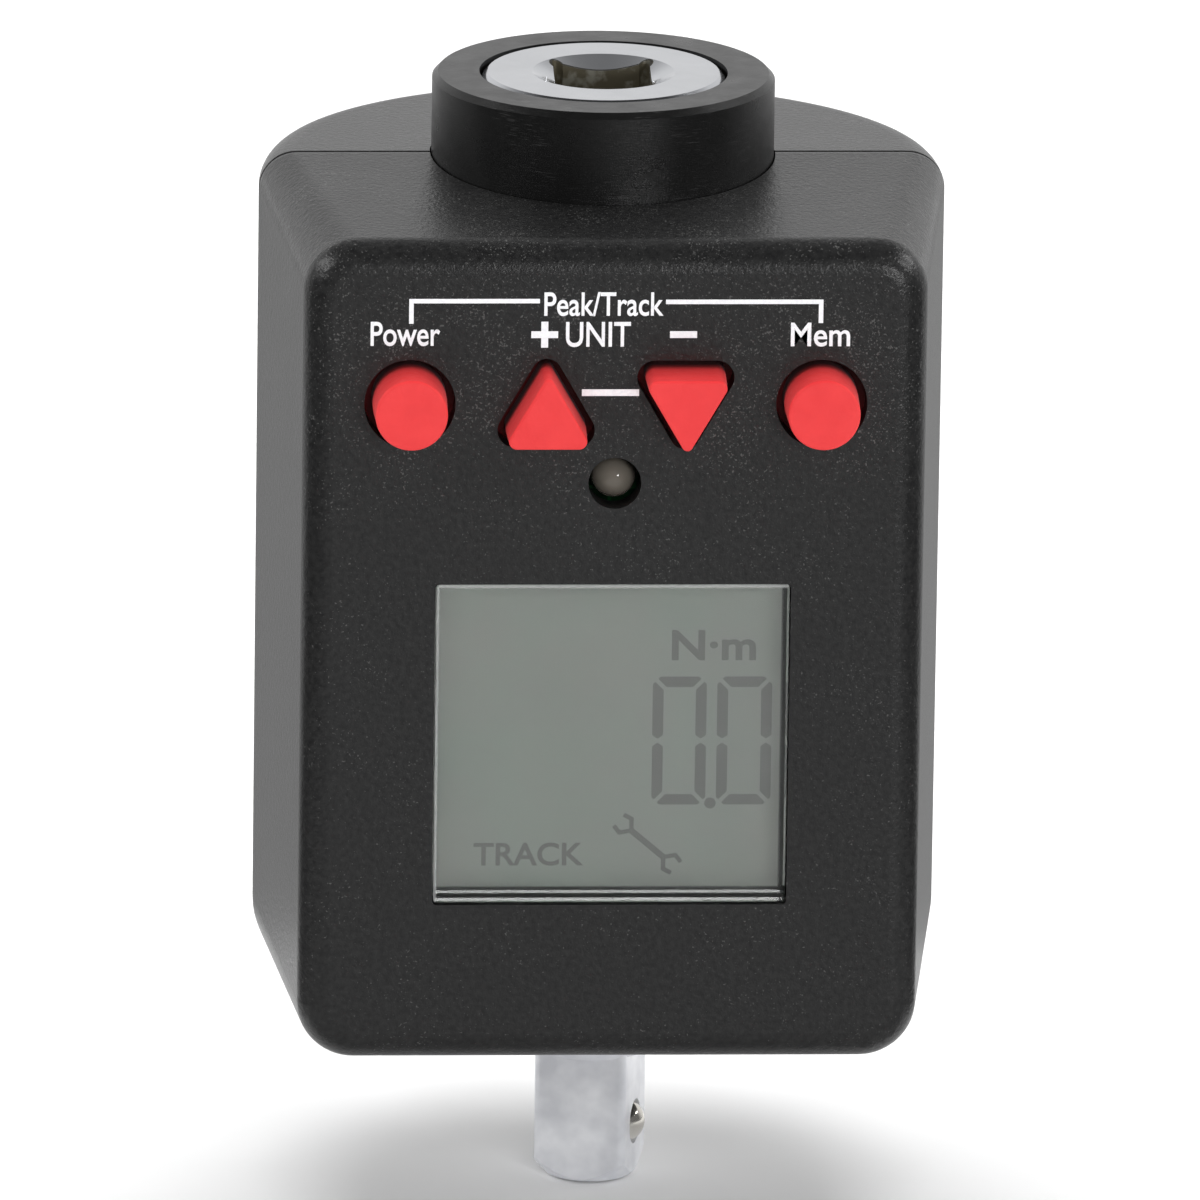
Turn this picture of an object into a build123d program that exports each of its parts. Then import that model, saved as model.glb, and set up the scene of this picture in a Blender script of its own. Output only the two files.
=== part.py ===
from build123d import *
import math
import os

# Digital torque adapter for a quarter inch square drive.
# Millimetres. +Z runs up the shaft and the display faces -Y.
# The origin is on the shaft axis, in the mouth of the square socket.

# ---- case ----
collar_proud = 5.5          # collar above the top of the case, at the seam
case_height = 57.1          # top to bottom of the case, at the seam
case_half_width = 22.8      # widest point, at the seam, and radius of the round back
case_depth = 20.0           # shaft axis to the front face
wall = 2.0
side_draft = 0.125          # how much each side leans in per millimetre forward
top_draft = 0.06            # how much the top drops per millimetre forward
back_draft = 0.03           # how much the top drops per millimetre backward
corner_top = 2.5            # corner radii of the outline at the seam
corner_bottom = 5.5
corner_front = 3.6          # corner radius of the outline at the front face
front_round = 2.0           # rounded edge round the front face
least_corner = 0.2          # smallest radii left inside the walls
least_rim = 0.4
seam_gap = 0.16
lip_length = 1.2            # tongue on the rear half that centres the front half
lip_start = 0.4             # how deep the tongue is rooted in the rear half
lip_outer = 1.1             # tongue faces, measured inwards from the outside
lip_inner = 1.85
lip_clearance = 0.12
lip_room = 0.3              # rebate beyond the inside of the wall

# ---- shaft ----
socket_flats = 6.45
socket_depth = 8.0
socket_chamfer_radius = 4.75
socket_chamfer_slope = 0.466
socket_cone = 1.0
socket_cone_edge = 0.1      # flat round the cone at the bottom of the socket
socket_relief = 0.5         # radius of the round relief in each corner of the socket
dimple_radius = 1.1
dimple_depth = 3.2
dimple_reach = 0.62
head_radius = 8.05
head_chamfer = 0.35
seal_groove_top = 5.3
seal_groove_height = 1.3
seal_groove_radius = head_radius - 0.95
shoulder_step = 1.25        # shoulder beyond the head
shoulder_radius = head_radius + shoulder_step
shoulder_height = 2.6
relief_radius = 6.5
relief_height = 1.9
gauge_radius = 4.5
gauge_flat = 3.9            # shaft axis to each gauge flat
gauge_slope = 2.0
gauge_flat_end = 1.0        # flats end this far inside the gauge section
journal_radius = 5.5
journal_length = 18.4
neck_radius = 4.6
neck_drop = 0.8             # neck starts below the bottom of the case
neck_slope = 0.6
drive_root = 0.5            # drive rooted in the neck
drive_reach = 13.6          # bottom of the case to the end of the drive
drive_square = 6.3
drive_square_length = 8.8
drive_corner = 0.5
drive_clocking = -16.6      # degrees the drive is turned from the socket
drive_tip_radius = 3.0
drive_tip_chamfer = 1.6
drive_tip_flare = 1.5

# ---- detent ball ----
ball_radius = 1.45
ball_proud = 0.65
ball_up = 3.6               # ball centre above the end of the drive
ball_clearance = 0.07
ball_hole_depth = 4.15
detent_wire = 0.14
detent_coil_radius = 1.0
detent_turns = 4.0
detent_rest = 1.6           # gap from coil to ball, in wire radii

# ---- gauges and their circuit ----
gauge_width = 3.8
gauge_length = 6.0
gauge_tail_width = 1.6
gauge_patch = 0.15
gauge_rise = 11.0           # gauges above the middle of the gauge section
flex_drop = 12.0            # band below the gauges
flex_thickness = 0.2
flex_band = 3.0
flex_width = 4.0
flex_bend = 2.2
flex_air = 0.1
flex_plug = 3.0             # tail inside the connector
connector_height = 2.5
connector_side = 1.0        # connector beyond the tail, on each side
connector_rise = 6.0        # top of the connector above the band

# ---- collar ----
collar_width = 3.33         # collar beyond the head
collar_radius = head_radius + collar_width
collar_bevel = 0.4
collar_bore_gap = 0.2
collar_hole_gap = 0.1
collar_hole_extra = 0.5     # collar hole carried below the seat
collar_flange_radius = collar_radius + 1.52
collar_flange_height = 1.6
seat_drop = 0.9             # collar seat below the inside of the case top
seat_ring_radius = collar_flange_radius + 0.85
seat_ring_root = 0.6

# ---- lower bearing ----
bush_wall = 1.5
bush_flange_radius = journal_radius + 3.1
bush_flange_height = 1.65
bearing_gap = 0.05
ring_thickness = 1.0
ring_groove_depth = 0.5
ring_outer_radius = journal_radius + 1.4
ring_lug_radius = 1.0
ring_eye_radius = 0.45
ring_gap_width = 3.0
ring_cut = 4.0
ring_lug_spread = 0.8       # lug centres outside the cut, in lug radii
ring_air = 0.12             # bush to ring
ring_bore_air = 0.05
groove_air = 0.03           # ring in its groove, at each face
seal_wire = 0.4
seal_air = 0.03             # collar ring to the bore and to its groove
seal_groove_air = 0.05
seal_bore_air = 0.02

# ---- pin that stops the case turning on the shaft ----
pin_radius = 0.9
pin_length = 8.4
pin_bite = 2.8              # pin inside the shoulder
pin_gap = 0.02
pin_chamfer = 0.2
web_half_width = 2.2
web_back = shoulder_radius + 3.8
web_thickness = 2.1
web_drop = 1.6              # web below the pin's centre line

# ---- keys ----
key_row_drop = 11.9         # key row below the top of the case
round_key_x = 13.53
arrow_key_x = 4.57
round_key_radius = 2.45
key_proud = 3.0
key_taper = 1.5
key_travel = 1.0
key_hole_gap = 0.55
key_edge = 0.2
key_flange_step = 1.0
key_flange_thickness = 1.0
key_flange_gap = 0.1
key_stem_radius = 2.0
arrow_half_base = 3.1
arrow_height = 5.37
arrow_base_drop = 2.4       # base of the arrow from the middle of the key row
arrow_base_round = 0.62
arrow_tip_round = 0.45
pill_radius = 1.6
pill_thickness = 0.3
pill_air = 0.05             # air left over the board when a key is fully pressed
mat_thickness = 1.1
mat_side = 1.42             # mat beyond the round keys
mat_above = 3.9
mat_below = 4.2
mat_hole_gap = 0.5
mat_corner = 1.0

# ---- indicator lamp ----
lamp_drop = 17.3            # lamp below the top of the case
lamp_radius = 1.5
lamp_hole_radius = 1.74
lamp_flange_radius = 1.9
lamp_flange_height = 1.0
lamp_length = 5.4
lamp_pin_pitch = 2.54
lamp_pin_side = 0.5
lamp_pin_length = 2.2
lamp_pin_room = 0.8         # radius of a pin's hole, in pin widths
mat_lamp_gap = 0.4

# ---- display ----
window_drop = 24.2          # top of the window below the top of the case
window_width = 23.45
window_height = 22.0
window_gap = 0.1
window_recess = 0.15
window_bevel = 0.15
window_corner = 0.3
window_flange = 1.5
window_flange_thickness = 0.8
gasket_thickness = 0.5
gasket_band = 1.4
glass_thickness = 1.6
glass_margin_side = 1.8
glass_margin_top = 2.05
glass_ledge = 4.05          # glass below the window, which carries the contacts
reflector_thickness = 0.2
frame_wall = 0.6
frame_gap = 0.1
frame_over_glass = 0.3
strip_thickness = 1.6
strip_inset = 0.6
frame_side_inset = 1.2

# ---- main board ----
board_face = 13.8           # front of the board, from the shaft axis
board_thickness = 1.0
board_gap = 0.47            # board to the side walls
board_top_drop = 7.8        # top of the board below the top of the case
board_bottom_gap = 0.6
board_corner = 2.2
board_boss_step = 2.875     # board screws beyond the display glass
board_boss_radius = 1.9
board_boss_drop = 19.1      # upper board screws below the top of the case
board_boss_rise = 11.1      # lower board screws above the bottom of the case
board_screw_radius = 0.95
board_screw_reach = 3.5
board_head_radius = 1.75
board_head_height = 1.3
board_pilot_extra = 0.2
board_cross_width = 0.45
board_cross_length = 2.0
board_cross_depth = 0.7

# ---- parts on the back of the board; levels are from the band on the shaft ----
chips = [(-5.0, -14.0, 8.0, 8.0, 1.2), (4.4, -2.5, 4.6, 4.0, 1.4), (-8.0, 2.0, 4.0, 4.0, 1.1)]
can_x = -12.5
can_drops = (4.0, 9.0)
can_radius = 2.0
can_height = 4.4
block_x = 9.5
block_pitch_x = 3.0
block_pitch_z = 2.2
block_width = 1.6
block_depth = 0.8
block_height = 0.7
crystal_x = 2.5
crystal_radius = 1.0
crystal_length = 6.0
buzzer_x = 12.2
buzzer_drop = 3.0
buzzer_radius = 4.5
buzzer_height = 3.4
buzzer_hole_radius = 0.9
buzzer_hole_depth = 1.0

# ---- case screws ----
post_inset = 5.2            # screw line from the widest point of the case
post_end_inset = 5.6        # screw line from the top and bottom of the case
post_radius = 2.5
post_clearance = 0.5
boss_radius = 3.0
screw_radius = 1.25
screw_head_radius = 2.2
screw_head_height = 1.6
screw_seat = 4.0
screw_reach = 8.5
pilot_extra = 0.7
thread_gap = 0.03
screw_hole_gap = 0.1
recess_gap = 0.25
cross_width = 0.55
cross_length = 2.6
cross_depth = 0.9
screw_head_bevel = 0.4

# ---- batteries and their tray ----
cell_radius = 5.2
cell_length = 44.5
nub_radius = 1.9
nub_height = 0.8
cell_round = 0.5
cell_apart = 0.6            # gap between the two cells
cell_to_case = 0.9          # cells to the inside of the round back
cell_gap = 0.15
tray_wall = 1.2
tray_floor_gap = 0.2        # tray above the inside of the case bottom
plate_thickness = 0.3
spring_height = 2.2
spring_wire = 0.22
spring_radius = 3.0
spring_turns = 3.0
spring_air = 0.01           # coil to the plate and to the cell
rib_width = 1.2
rib_length = 30.0
rib_start = 1.0             # ribs start in front of the tray
cradle_count = 3
cradle_thickness = 1.0
cradle_height = 3.4
shoulder_clearance = 0.4
lead_radius = 0.45

plate_near = 1.5            # inner edge of each upper plate, from the middle
plate_side = 1.2            # plates end this far inside the cells' outer sides
plate_front_reach = 3.9
plate_back_reach = 2.9
tab_width = 2.0
tab_out = 0.9               # tab beyond the edge of its plate, and in front of the tray
tab_slot_gap = 0.2
tab_under = 0.7             # inner edge of a tab inside the shoulder's radius
tab_room = 0.25             # tab to the side wall of the tray
lead_out = 2.2              # leads outside the tabs
lead_drop = 7.0
lead_back_y = 2.5           # where the leads turn outwards
lead_side_y = -3.5          # where they run forwards beside the shaft
lead_front_y = -8.5         # where they reach the level of their joints
lead_side_drop = 2.5
lead_bends = [6.0, 12.0, 5.0]

# ---- battery door ----
door_side = 0.4             # door beyond the tray, on each side
door_gap = 0.15
door_front = 11.65          # front edge of the door's bottom, from the shaft axis
door_over_cell = 0.35       # door opening above the cells
door_flange_gap = 0.2
door_flange_thickness = 0.9
door_flange_reach = 1.75
door_flange_root = 1.25
door_slot_start = 1.0       # slots for the flanges start inside the door's edge
door_slot_bite = 0.05
door_slot_extra = 0.2
door_flange_end = 0.2       # rails end inside the flanges' edge
rail_thickness = 1.1
grip_count = 6
grip_pitch = 1.9
grip_width = 0.9
grip_depth = 0.45
grip_half_length = 5.5
grip_start = 3.5

# ---- levels along the shaft, worked out from the sizes above ----
case_top = -collar_proud
case_bottom = case_top - case_height
drive_end = case_bottom - drive_reach
inner_top = case_top - wall
inner_bottom = case_bottom + wall
seat_level = inner_top - seat_drop
flange_bottom = seat_level - collar_flange_height
shoulder_bottom = flange_bottom - shoulder_height
pin_level = flange_bottom - shoulder_height / 2
pin_start = shoulder_radius - pin_bite
bush_top = inner_bottom + bush_flange_height
ring_top = bush_top + ring_air + ring_thickness
ball_level = drive_end + ball_up
key_row = case_top - key_row_drop
lamp_level = case_top - lamp_drop
window_top = case_top - window_drop
window_bottom = window_top - window_height
glass_top = window_top + glass_margin_top
glass_bottom = window_bottom - glass_ledge
board_top = case_top - board_top_drop
board_bottom = inner_bottom + board_bottom_gap
tray_bottom = inner_bottom + tray_floor_gap
cell_space_bottom = tray_bottom + tray_wall
cell_space_top = cell_space_bottom + cell_length + spring_height + 2 * plate_thickness
tray_top = cell_space_top + tray_wall
door_top = cell_space_top - door_over_cell

# ---- depths and places across the shaft ----
inner_radius = case_half_width - wall
gauge_middle = (shoulder_bottom + case_bottom) / 2 + gauge_rise
flex_level = gauge_middle - flex_drop
connector_top = flex_level + connector_rise
inner_front = -(case_depth - wall)
board_back = -(board_face - board_thickness)
board_half_width = case_half_width - side_draft * board_face - wall - board_gap
window_front = -(case_depth - window_recess)
window_back = inner_front + window_flange_thickness
glass_front = window_back + gasket_thickness
glass_back = glass_front + glass_thickness
glass_half_width = window_width / 2 + glass_margin_side
cell_x = cell_radius + cell_apart / 2
cell_y = math.sqrt((inner_radius - cell_to_case - cell_radius) ** 2 - cell_x ** 2)
tray_floor = cell_y - cell_radius - cell_gap
tray_front = tray_floor - tray_wall
tab_near = max(cell_x + cell_radius - plate_side - tab_out, shoulder_radius - tab_under)
plate_far = tab_near + tab_out
tab_far = tab_near + tab_width
tray_side = max(cell_x + cell_radius + cell_gap, tab_far + tab_room)
door_half_width = tray_side + tray_wall + door_side
plate_y_near = max(cell_y - plate_front_reach, shoulder_radius + shoulder_clearance)
plate_y_far = cell_y + plate_back_reach
tab_front = tray_front - tab_out
flange_outer = inner_radius - door_flange_gap
flange_inner = flange_outer - door_flange_thickness
flange_edge = door_half_width + door_flange_reach
rail_outer = flange_inner - door_flange_gap
post_x = case_half_width - post_inset
post_levels = (case_top - post_end_inset, case_bottom + post_end_inset)
posts = [(side * post_x, level) for side in (-1, 1) for level in post_levels]
boss_levels = (case_top - board_boss_drop, case_bottom + board_boss_rise)
board_boss_x = glass_half_width + board_boss_step
board_bosses = [(side * board_boss_x, level) for side in (-1, 1) for level in boss_levels]
ball_direction = Vector(1, 0, 0).rotate(Axis.Z, drive_clocking)
ball_offset = drive_square / 2 + ball_proud - ball_radius

os.makedirs("parts", exist_ok=True)


def save(part, name):
    """Label a finished piece and write it as one STEP file."""
    part.label = name
    export_step(part, f"parts/{name}.step")


def facing(y):
    """Sketch plane at this Y: local x is X, local y is Z, and extrusion runs to -Y."""
    return Plane.XZ.offset(-y)


def outline(y, inset=0.0):
    """Case outline seen from the front at depth y, moved inwards by inset."""
    share = -y / case_depth
    half_width = case_half_width + side_draft * y - inset
    top = case_top + top_draft * y - inset
    bottom = case_bottom + inset
    radius_top = max(corner_top + (corner_front - corner_top) * share - inset, least_corner)
    radius_bottom = max(corner_bottom + (corner_front - corner_bottom) * share - inset, least_corner)
    with BuildSketch(facing(y)) as sketch:
        with BuildLine():
            Polyline((-half_width, bottom), (-half_width, top), (half_width, top),
                     (half_width, bottom), close=True)
        make_face()
        fillet(sketch.vertices().group_by(Axis.Y)[-1], radius_top)
        fillet(sketch.vertices().sort_by(Axis.Y)[0:2], radius_bottom)
    return sketch.sketch


def seam_ring(outer_inset, inner_inset):
    """Band between two insets of the seam outline, drawn on the seam plane."""
    outer = outline(0, outer_inset)
    inner = outline(0, inner_inset)
    with BuildSketch(facing(0)) as sketch:
        add(outer)
        add(inner, mode=Mode.SUBTRACT)
    return sketch.sketch


def half_disc(level, outer, side):
    """Half disc about the shaft axis, on the +Y side (side 1) or the -Y side (side -1)."""
    with BuildSketch(Plane.XY.offset(level)) as sketch:
        Circle(outer)
        with Locations((0, side * outer)):
            Rectangle(2 * outer, 2 * outer, mode=Mode.INTERSECT)
    return sketch.sketch


def side_sectors(level, outer, inner, near, far):
    """Two pieces of a ring on the +Y side, between the X distances near and far."""
    middle = (near + far) / 2
    with BuildSketch(Plane.XY.offset(level)) as sketch:
        with Locations((middle, outer / 2), (-middle, outer / 2)):
            Rectangle(far - near, outer)
        Circle(outer, mode=Mode.INTERSECT)
        Circle(inner, mode=Mode.SUBTRACT)
    return sketch.sketch


def back_form(inset):
    """Half-round back of the case moved inwards by inset, as one solid."""
    radius = case_half_width - inset
    top_plane = Plane(origin=(0, 0, case_top - inset), z_dir=(0, back_draft, 1))
    with BuildPart() as form:
        with BuildSketch(Plane.XY.offset(case_bottom + inset)):
            with BuildLine():
                CenterArc((0, 0), radius, 0, 180)
                Line((-radius, 0), (radius, 0))
            make_face()
        extrude(amount=case_height)
        split(bisect_by=top_plane, keep=Keep.BOTTOM)
        top_rim = form.faces().sort_by(Axis.Z)[-1].edges().filter_by(GeomType.LINE, reverse=True)
        fillet(top_rim, max(corner_top - inset, least_rim))
        bottom_rim = form.faces().sort_by(Axis.Z)[0].edges().filter_by(GeomType.LINE, reverse=True)
        fillet(bottom_rim, max(corner_bottom - inset, least_rim))
    return form.part


def arrow(direction, grow=0.0):
    """Rounded triangle of an arrow key about the key's middle, pointing up (1) or down (-1)."""
    base = -direction * arrow_base_drop
    tip = base + direction * arrow_height
    with BuildSketch() as sketch:
        with BuildLine():
            Polyline((-arrow_half_base, base), (arrow_half_base, base), (0, tip), close=True)
        make_face()
        corners = sketch.vertices().sort_by(Axis.Y)
        tip_corner = corners[-1] if direction > 0 else corners[0]
        base_corners = corners[0:2] if direction > 0 else corners[1:3]
        fillet(base_corners, arrow_base_round)
        tip_now = [v for v in sketch.vertices() if abs(v.Y - tip_corner.Y) < 0.001]
        fillet(tip_now, arrow_tip_round)
        if grow > 0:
            offset(amount=grow)
    return sketch.sketch


def disc(radius):
    """Plain round sketch about the key's middle."""
    with BuildSketch() as sketch:
        Circle(radius)
    return sketch.sketch


def key_holes():
    """The four key openings on the front face plane."""
    up = arrow(1, key_hole_gap)
    down = arrow(-1, key_hole_gap)
    with BuildSketch(facing(inner_front)) as sketch:
        with Locations((-round_key_x, key_row), (round_key_x, key_row)):
            Circle(round_key_radius + key_hole_gap)
        with Locations((-arrow_key_x, key_row)):
            add(up)
        with Locations((arrow_key_x, key_row)):
            add(down)
    return sketch.sketch


# ---------------------------------------------------------------- case


def make_front_shell():
    """Front half of the case, with its posts, bosses, collar seat and openings."""
    outer = [outline(-seam_gap / 2), outline(-case_depth)]
    hollow = [outline(0, wall), outline(inner_front, wall)]
    rebate = seam_ring(lip_outer - lip_clearance, wall + lip_room)
    seat = half_disc(seat_level, seat_ring_radius, -1)
    openings = key_holes()
    with BuildPart() as front_shell:
        loft(sections=outer, ruled=True)
        fillet(front_shell.faces().sort_by(Axis.Y)[0].edges(), front_round)
        loft(sections=hollow, ruled=True, mode=Mode.SUBTRACT)
        extrude(seat, amount=seat_drop + seat_ring_root)
        with BuildSketch(facing(-web_back)):
            with Locations((0, pin_level - web_drop)):
                Rectangle(2 * web_half_width, seat_level - pin_level + web_drop + seat_drop,
                          align=(Align.CENTER, Align.MIN))
        extrude(amount=web_thickness)
        with BuildSketch(facing(-web_back)):
            with Locations((0, pin_level)):
                Circle(pin_radius + pin_gap)
        extrude(amount=web_thickness, mode=Mode.SUBTRACT)
        with BuildSketch(facing(0)):
            with Locations(*posts):
                Circle(post_radius)
        extrude(amount=case_depth - wall / 2)
        with BuildSketch(facing(-board_face)):
            with Locations(*board_bosses):
                Circle(board_boss_radius)
        extrude(amount=case_depth - wall / 2 - board_face)
        with BuildSketch(facing(0)):
            with Locations(*posts):
                Circle(screw_radius + thread_gap)
        extrude(amount=screw_reach + pilot_extra, mode=Mode.SUBTRACT)
        with BuildSketch(facing(-board_face)):
            with Locations(*board_bosses):
                Circle(board_screw_radius + thread_gap)
        extrude(amount=board_screw_reach + board_pilot_extra, mode=Mode.SUBTRACT)
        extrude(rebate, amount=lip_length + lip_clearance, mode=Mode.SUBTRACT)
        extrude(openings, amount=wall, mode=Mode.SUBTRACT)
        with BuildSketch(facing(inner_front)):
            with Locations((0, lamp_level)):
                Circle(lamp_hole_radius)
            with Locations((0, (window_top + window_bottom) / 2)):
                RectangleRounded(window_width, window_height, window_corner)
        extrude(amount=wall, mode=Mode.SUBTRACT)
        with BuildSketch(Plane.XY):
            Circle(collar_radius + collar_hole_gap)
        extrude(amount=seat_level - collar_hole_extra, mode=Mode.SUBTRACT)
        with BuildSketch(Plane.XY.offset(case_bottom)):
            Circle(journal_radius + bearing_gap + bush_wall + bearing_gap)
        extrude(amount=wall, mode=Mode.SUBTRACT)
    save(front_shell.part, "front_shell")


def make_rear_shell():
    """Rear half of the case: round back, screw bosses, tray ribs and the door opening."""
    outer = back_form(0)
    hollow = back_form(wall)
    tongue = seam_ring(lip_outer, lip_inner)
    seat = half_disc(seat_level, seat_ring_radius, 1)
    slots = side_sectors(case_bottom, inner_radius + door_slot_bite, rail_outer,
                         door_half_width - door_slot_start, flange_edge + door_gap)
    rib_x = flange_edge + door_gap + rib_width / 2
    with BuildPart() as bosses:
        with BuildSketch(facing(0)):
            with Locations(*posts):
                Circle(boss_radius)
        extrude(amount=-case_half_width)
        add(outer, mode=Mode.INTERSECT)
    with BuildPart() as ribs:
        with BuildSketch(facing(tray_front - rib_start)):
            with Locations((-rib_x, (tray_top + tray_bottom) / 2), (rib_x, (tray_top + tray_bottom) / 2)):
                Rectangle(rib_width, rib_length)
        extrude(amount=-case_half_width)
        add(outer, mode=Mode.INTERSECT)
    with BuildPart() as rear_shell:
        add(outer)
        add(hollow, mode=Mode.SUBTRACT)
        split(bisect_by=facing(seam_gap / 2), keep=Keep.BOTTOM)
        add(bosses.part)
        add(ribs.part)
        extrude(seat, amount=seat_drop + seat_ring_root)
        extrude(tongue, amount=lip_length)
        extrude(tongue, amount=-lip_start)
        with BuildSketch(facing(screw_seat)):
            with Locations(*posts):
                Circle(screw_head_radius + recess_gap)
        extrude(amount=-case_half_width, mode=Mode.SUBTRACT)
        with BuildSketch(facing(0)):
            with Locations(*posts):
                Circle(screw_radius + screw_hole_gap)
        extrude(amount=-screw_seat, mode=Mode.SUBTRACT)
        with BuildSketch(facing(door_front - door_gap)):
            with Locations((0, door_top + door_gap)):
                Rectangle(2 * (door_half_width + door_gap), case_height, align=(Align.CENTER, Align.MAX))
        extrude(amount=-case_half_width, mode=Mode.SUBTRACT)
        extrude(slots, amount=corner_bottom + door_slot_extra, mode=Mode.SUBTRACT)
        with BuildSketch(Plane.XY):
            Circle(collar_radius + collar_hole_gap)
        extrude(amount=seat_level - collar_hole_extra, mode=Mode.SUBTRACT)
        with BuildSketch(Plane.XY.offset(case_bottom)):
            Circle(journal_radius + bearing_gap + bush_wall + bearing_gap)
        extrude(amount=wall, mode=Mode.SUBTRACT)
    save(rear_shell.part, "rear_shell")


def make_case_screws():
    """Four self-tapping screws that hold the case halves together, as separate solids."""
    with BuildPart() as case_screws:
        with BuildSketch(facing(screw_seat)):
            with Locations(*posts):
                Circle(screw_radius)
        extrude(amount=screw_seat + screw_reach)
        with BuildSketch(facing(screw_seat)):
            with Locations(*posts):
                Circle(screw_head_radius)
        extrude(amount=-screw_head_height)
        with BuildSketch(facing(screw_seat + screw_head_height)):
            with Locations(*posts):
                Rectangle(cross_width, cross_length)
                Rectangle(cross_length, cross_width)
        extrude(amount=cross_depth, mode=Mode.SUBTRACT)
        chamfer(case_screws.faces().group_by(Axis.Y)[0].edges(), screw_head_bevel)
    save(case_screws.part, "case_screws")


# ---------------------------------------------------------------- shaft and its bearings


def make_torque_shaft():
    """One steel shaft: head with square socket, gauge section, journal and square drive."""
    gauge_top = shoulder_bottom - relief_height - gauge_slope
    gauge_bottom = case_bottom + journal_length + gauge_slope
    groove_floor = journal_radius - ring_groove_depth
    neck_top = case_bottom - neck_drop
    square_top = drive_end + drive_square_length
    ring_seat = ring_top - ring_thickness
    ball_plane = Plane(origin=(0, 0, ball_level), z_dir=ball_direction)
    with BuildPart() as drive:
        with BuildSketch(Plane.XY.offset(drive_end)) as section:
            Rectangle(drive_square, drive_square, rotation=drive_clocking)
            fillet(section.vertices(), drive_corner)
        extrude(amount=drive_square_length + drive_root)
        with BuildSketch(Plane.XZ):
            with BuildLine():
                Polyline((0, drive_end), (drive_tip_radius, drive_end),
                         (drive_tip_radius + drive_tip_flare, drive_end + drive_tip_chamfer),
                         (drive_square, drive_end + drive_tip_chamfer),
                         (drive_square, square_top + drive_root), (0, square_top + drive_root), close=True)
            make_face()
        revolve(axis=Axis.Z, mode=Mode.INTERSECT)
    with BuildPart() as torque_shaft:
        with BuildSketch(Plane.XZ):
            with BuildLine():
                Polyline((0, 0), (head_radius - head_chamfer, 0), (head_radius, -head_chamfer),
                         (head_radius, -seal_groove_top), (seal_groove_radius, -seal_groove_top),
                         (seal_groove_radius, -seal_groove_top - seal_groove_height),
                         (head_radius, -seal_groove_top - seal_groove_height),
                         (head_radius, flange_bottom), (shoulder_radius, flange_bottom),
                         (shoulder_radius, shoulder_bottom), (relief_radius, shoulder_bottom),
                         (relief_radius, shoulder_bottom - relief_height), (gauge_radius, gauge_top),
                         (gauge_radius, gauge_bottom), (journal_radius, gauge_bottom - gauge_slope),
                         (journal_radius, ring_top + groove_air), (groove_floor, ring_top + groove_air),
                         (groove_floor, ring_seat - groove_air), (journal_radius, ring_seat - groove_air),
                         (journal_radius, neck_top), (neck_radius, neck_top - neck_slope),
                         (neck_radius, square_top + neck_slope), (neck_radius - neck_slope, square_top),
                         (0, square_top), close=True)
            make_face()
        revolve(axis=Axis.Z)
        add(drive.part)
        with BuildSketch(Plane.XY):
            Rectangle(socket_flats, socket_flats)
            with GridLocations(socket_flats - socket_relief, socket_flats - socket_relief, 2, 2):
                Circle(socket_relief)
        extrude(amount=-socket_depth, mode=Mode.SUBTRACT)
        with BuildSketch(Plane.XZ):
            with BuildLine():
                Polyline((0, 0), (socket_chamfer_radius, 0),
                         (0, -socket_chamfer_radius * socket_chamfer_slope), close=True)
            make_face()
            with BuildLine():
                Polyline((0, -socket_depth), (socket_flats / 2 - socket_cone_edge, -socket_depth),
                         (0, -socket_depth - socket_cone), close=True)
            make_face()
        revolve(axis=Axis.Z, mode=Mode.SUBTRACT)
        dimple_length = socket_flats + 2 * dimple_reach
        with Locations((0, 0, -dimple_depth)):
            Cylinder(dimple_radius, dimple_length, rotation=(90, 0, 0), mode=Mode.SUBTRACT)
            Cylinder(dimple_radius, dimple_length, rotation=(0, 90, 0), mode=Mode.SUBTRACT)
        for side in (-1, 1):
            with BuildSketch(facing(side * gauge_flat)):
                with Locations((0, (gauge_top + gauge_bottom) / 2)):
                    Rectangle(4 * gauge_radius, gauge_top - gauge_bottom - 2 * gauge_flat_end)
            extrude(amount=-side * gauge_radius, mode=Mode.SUBTRACT)
        with BuildSketch(facing(-(pin_start - pin_gap))):
            with Locations((0, pin_level)):
                Circle(pin_radius + pin_gap)
        extrude(amount=shoulder_radius, mode=Mode.SUBTRACT)
        with BuildSketch(ball_plane.offset(drive_square / 2 - ball_hole_depth)):
            Circle(ball_radius + ball_clearance)
        extrude(amount=2 * ball_hole_depth, mode=Mode.SUBTRACT)
    save(torque_shaft.part, "torque_shaft")


def make_detent():
    """Detent ball in the side of the drive, and the coil spring behind it."""
    centre = Vector(0, 0, ball_level) + ball_direction * ball_offset
    with BuildPart() as detent_ball:
        with Locations(centre):
            Sphere(ball_radius)
    save(detent_ball.part, "detent_ball")
    ball_back = ball_offset - math.sqrt(ball_radius ** 2 - detent_coil_radius ** 2)
    start = drive_square / 2 - ball_hole_depth + detent_wire
    height = ball_back - detent_rest * detent_wire - start
    plane = Plane(origin=(0, 0, ball_level), x_dir=(0, 0, 1), z_dir=ball_direction).offset(start)
    coil_path = plane.from_local_coords(Helix(height / detent_turns, height, detent_coil_radius))
    with BuildPart() as detent_spring:
        with BuildSketch(Plane(origin=coil_path @ 0, z_dir=coil_path % 0)):
            Circle(detent_wire)
        sweep(path=coil_path, is_frenet=True)
    save(detent_spring.part, "detent_spring")


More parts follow.
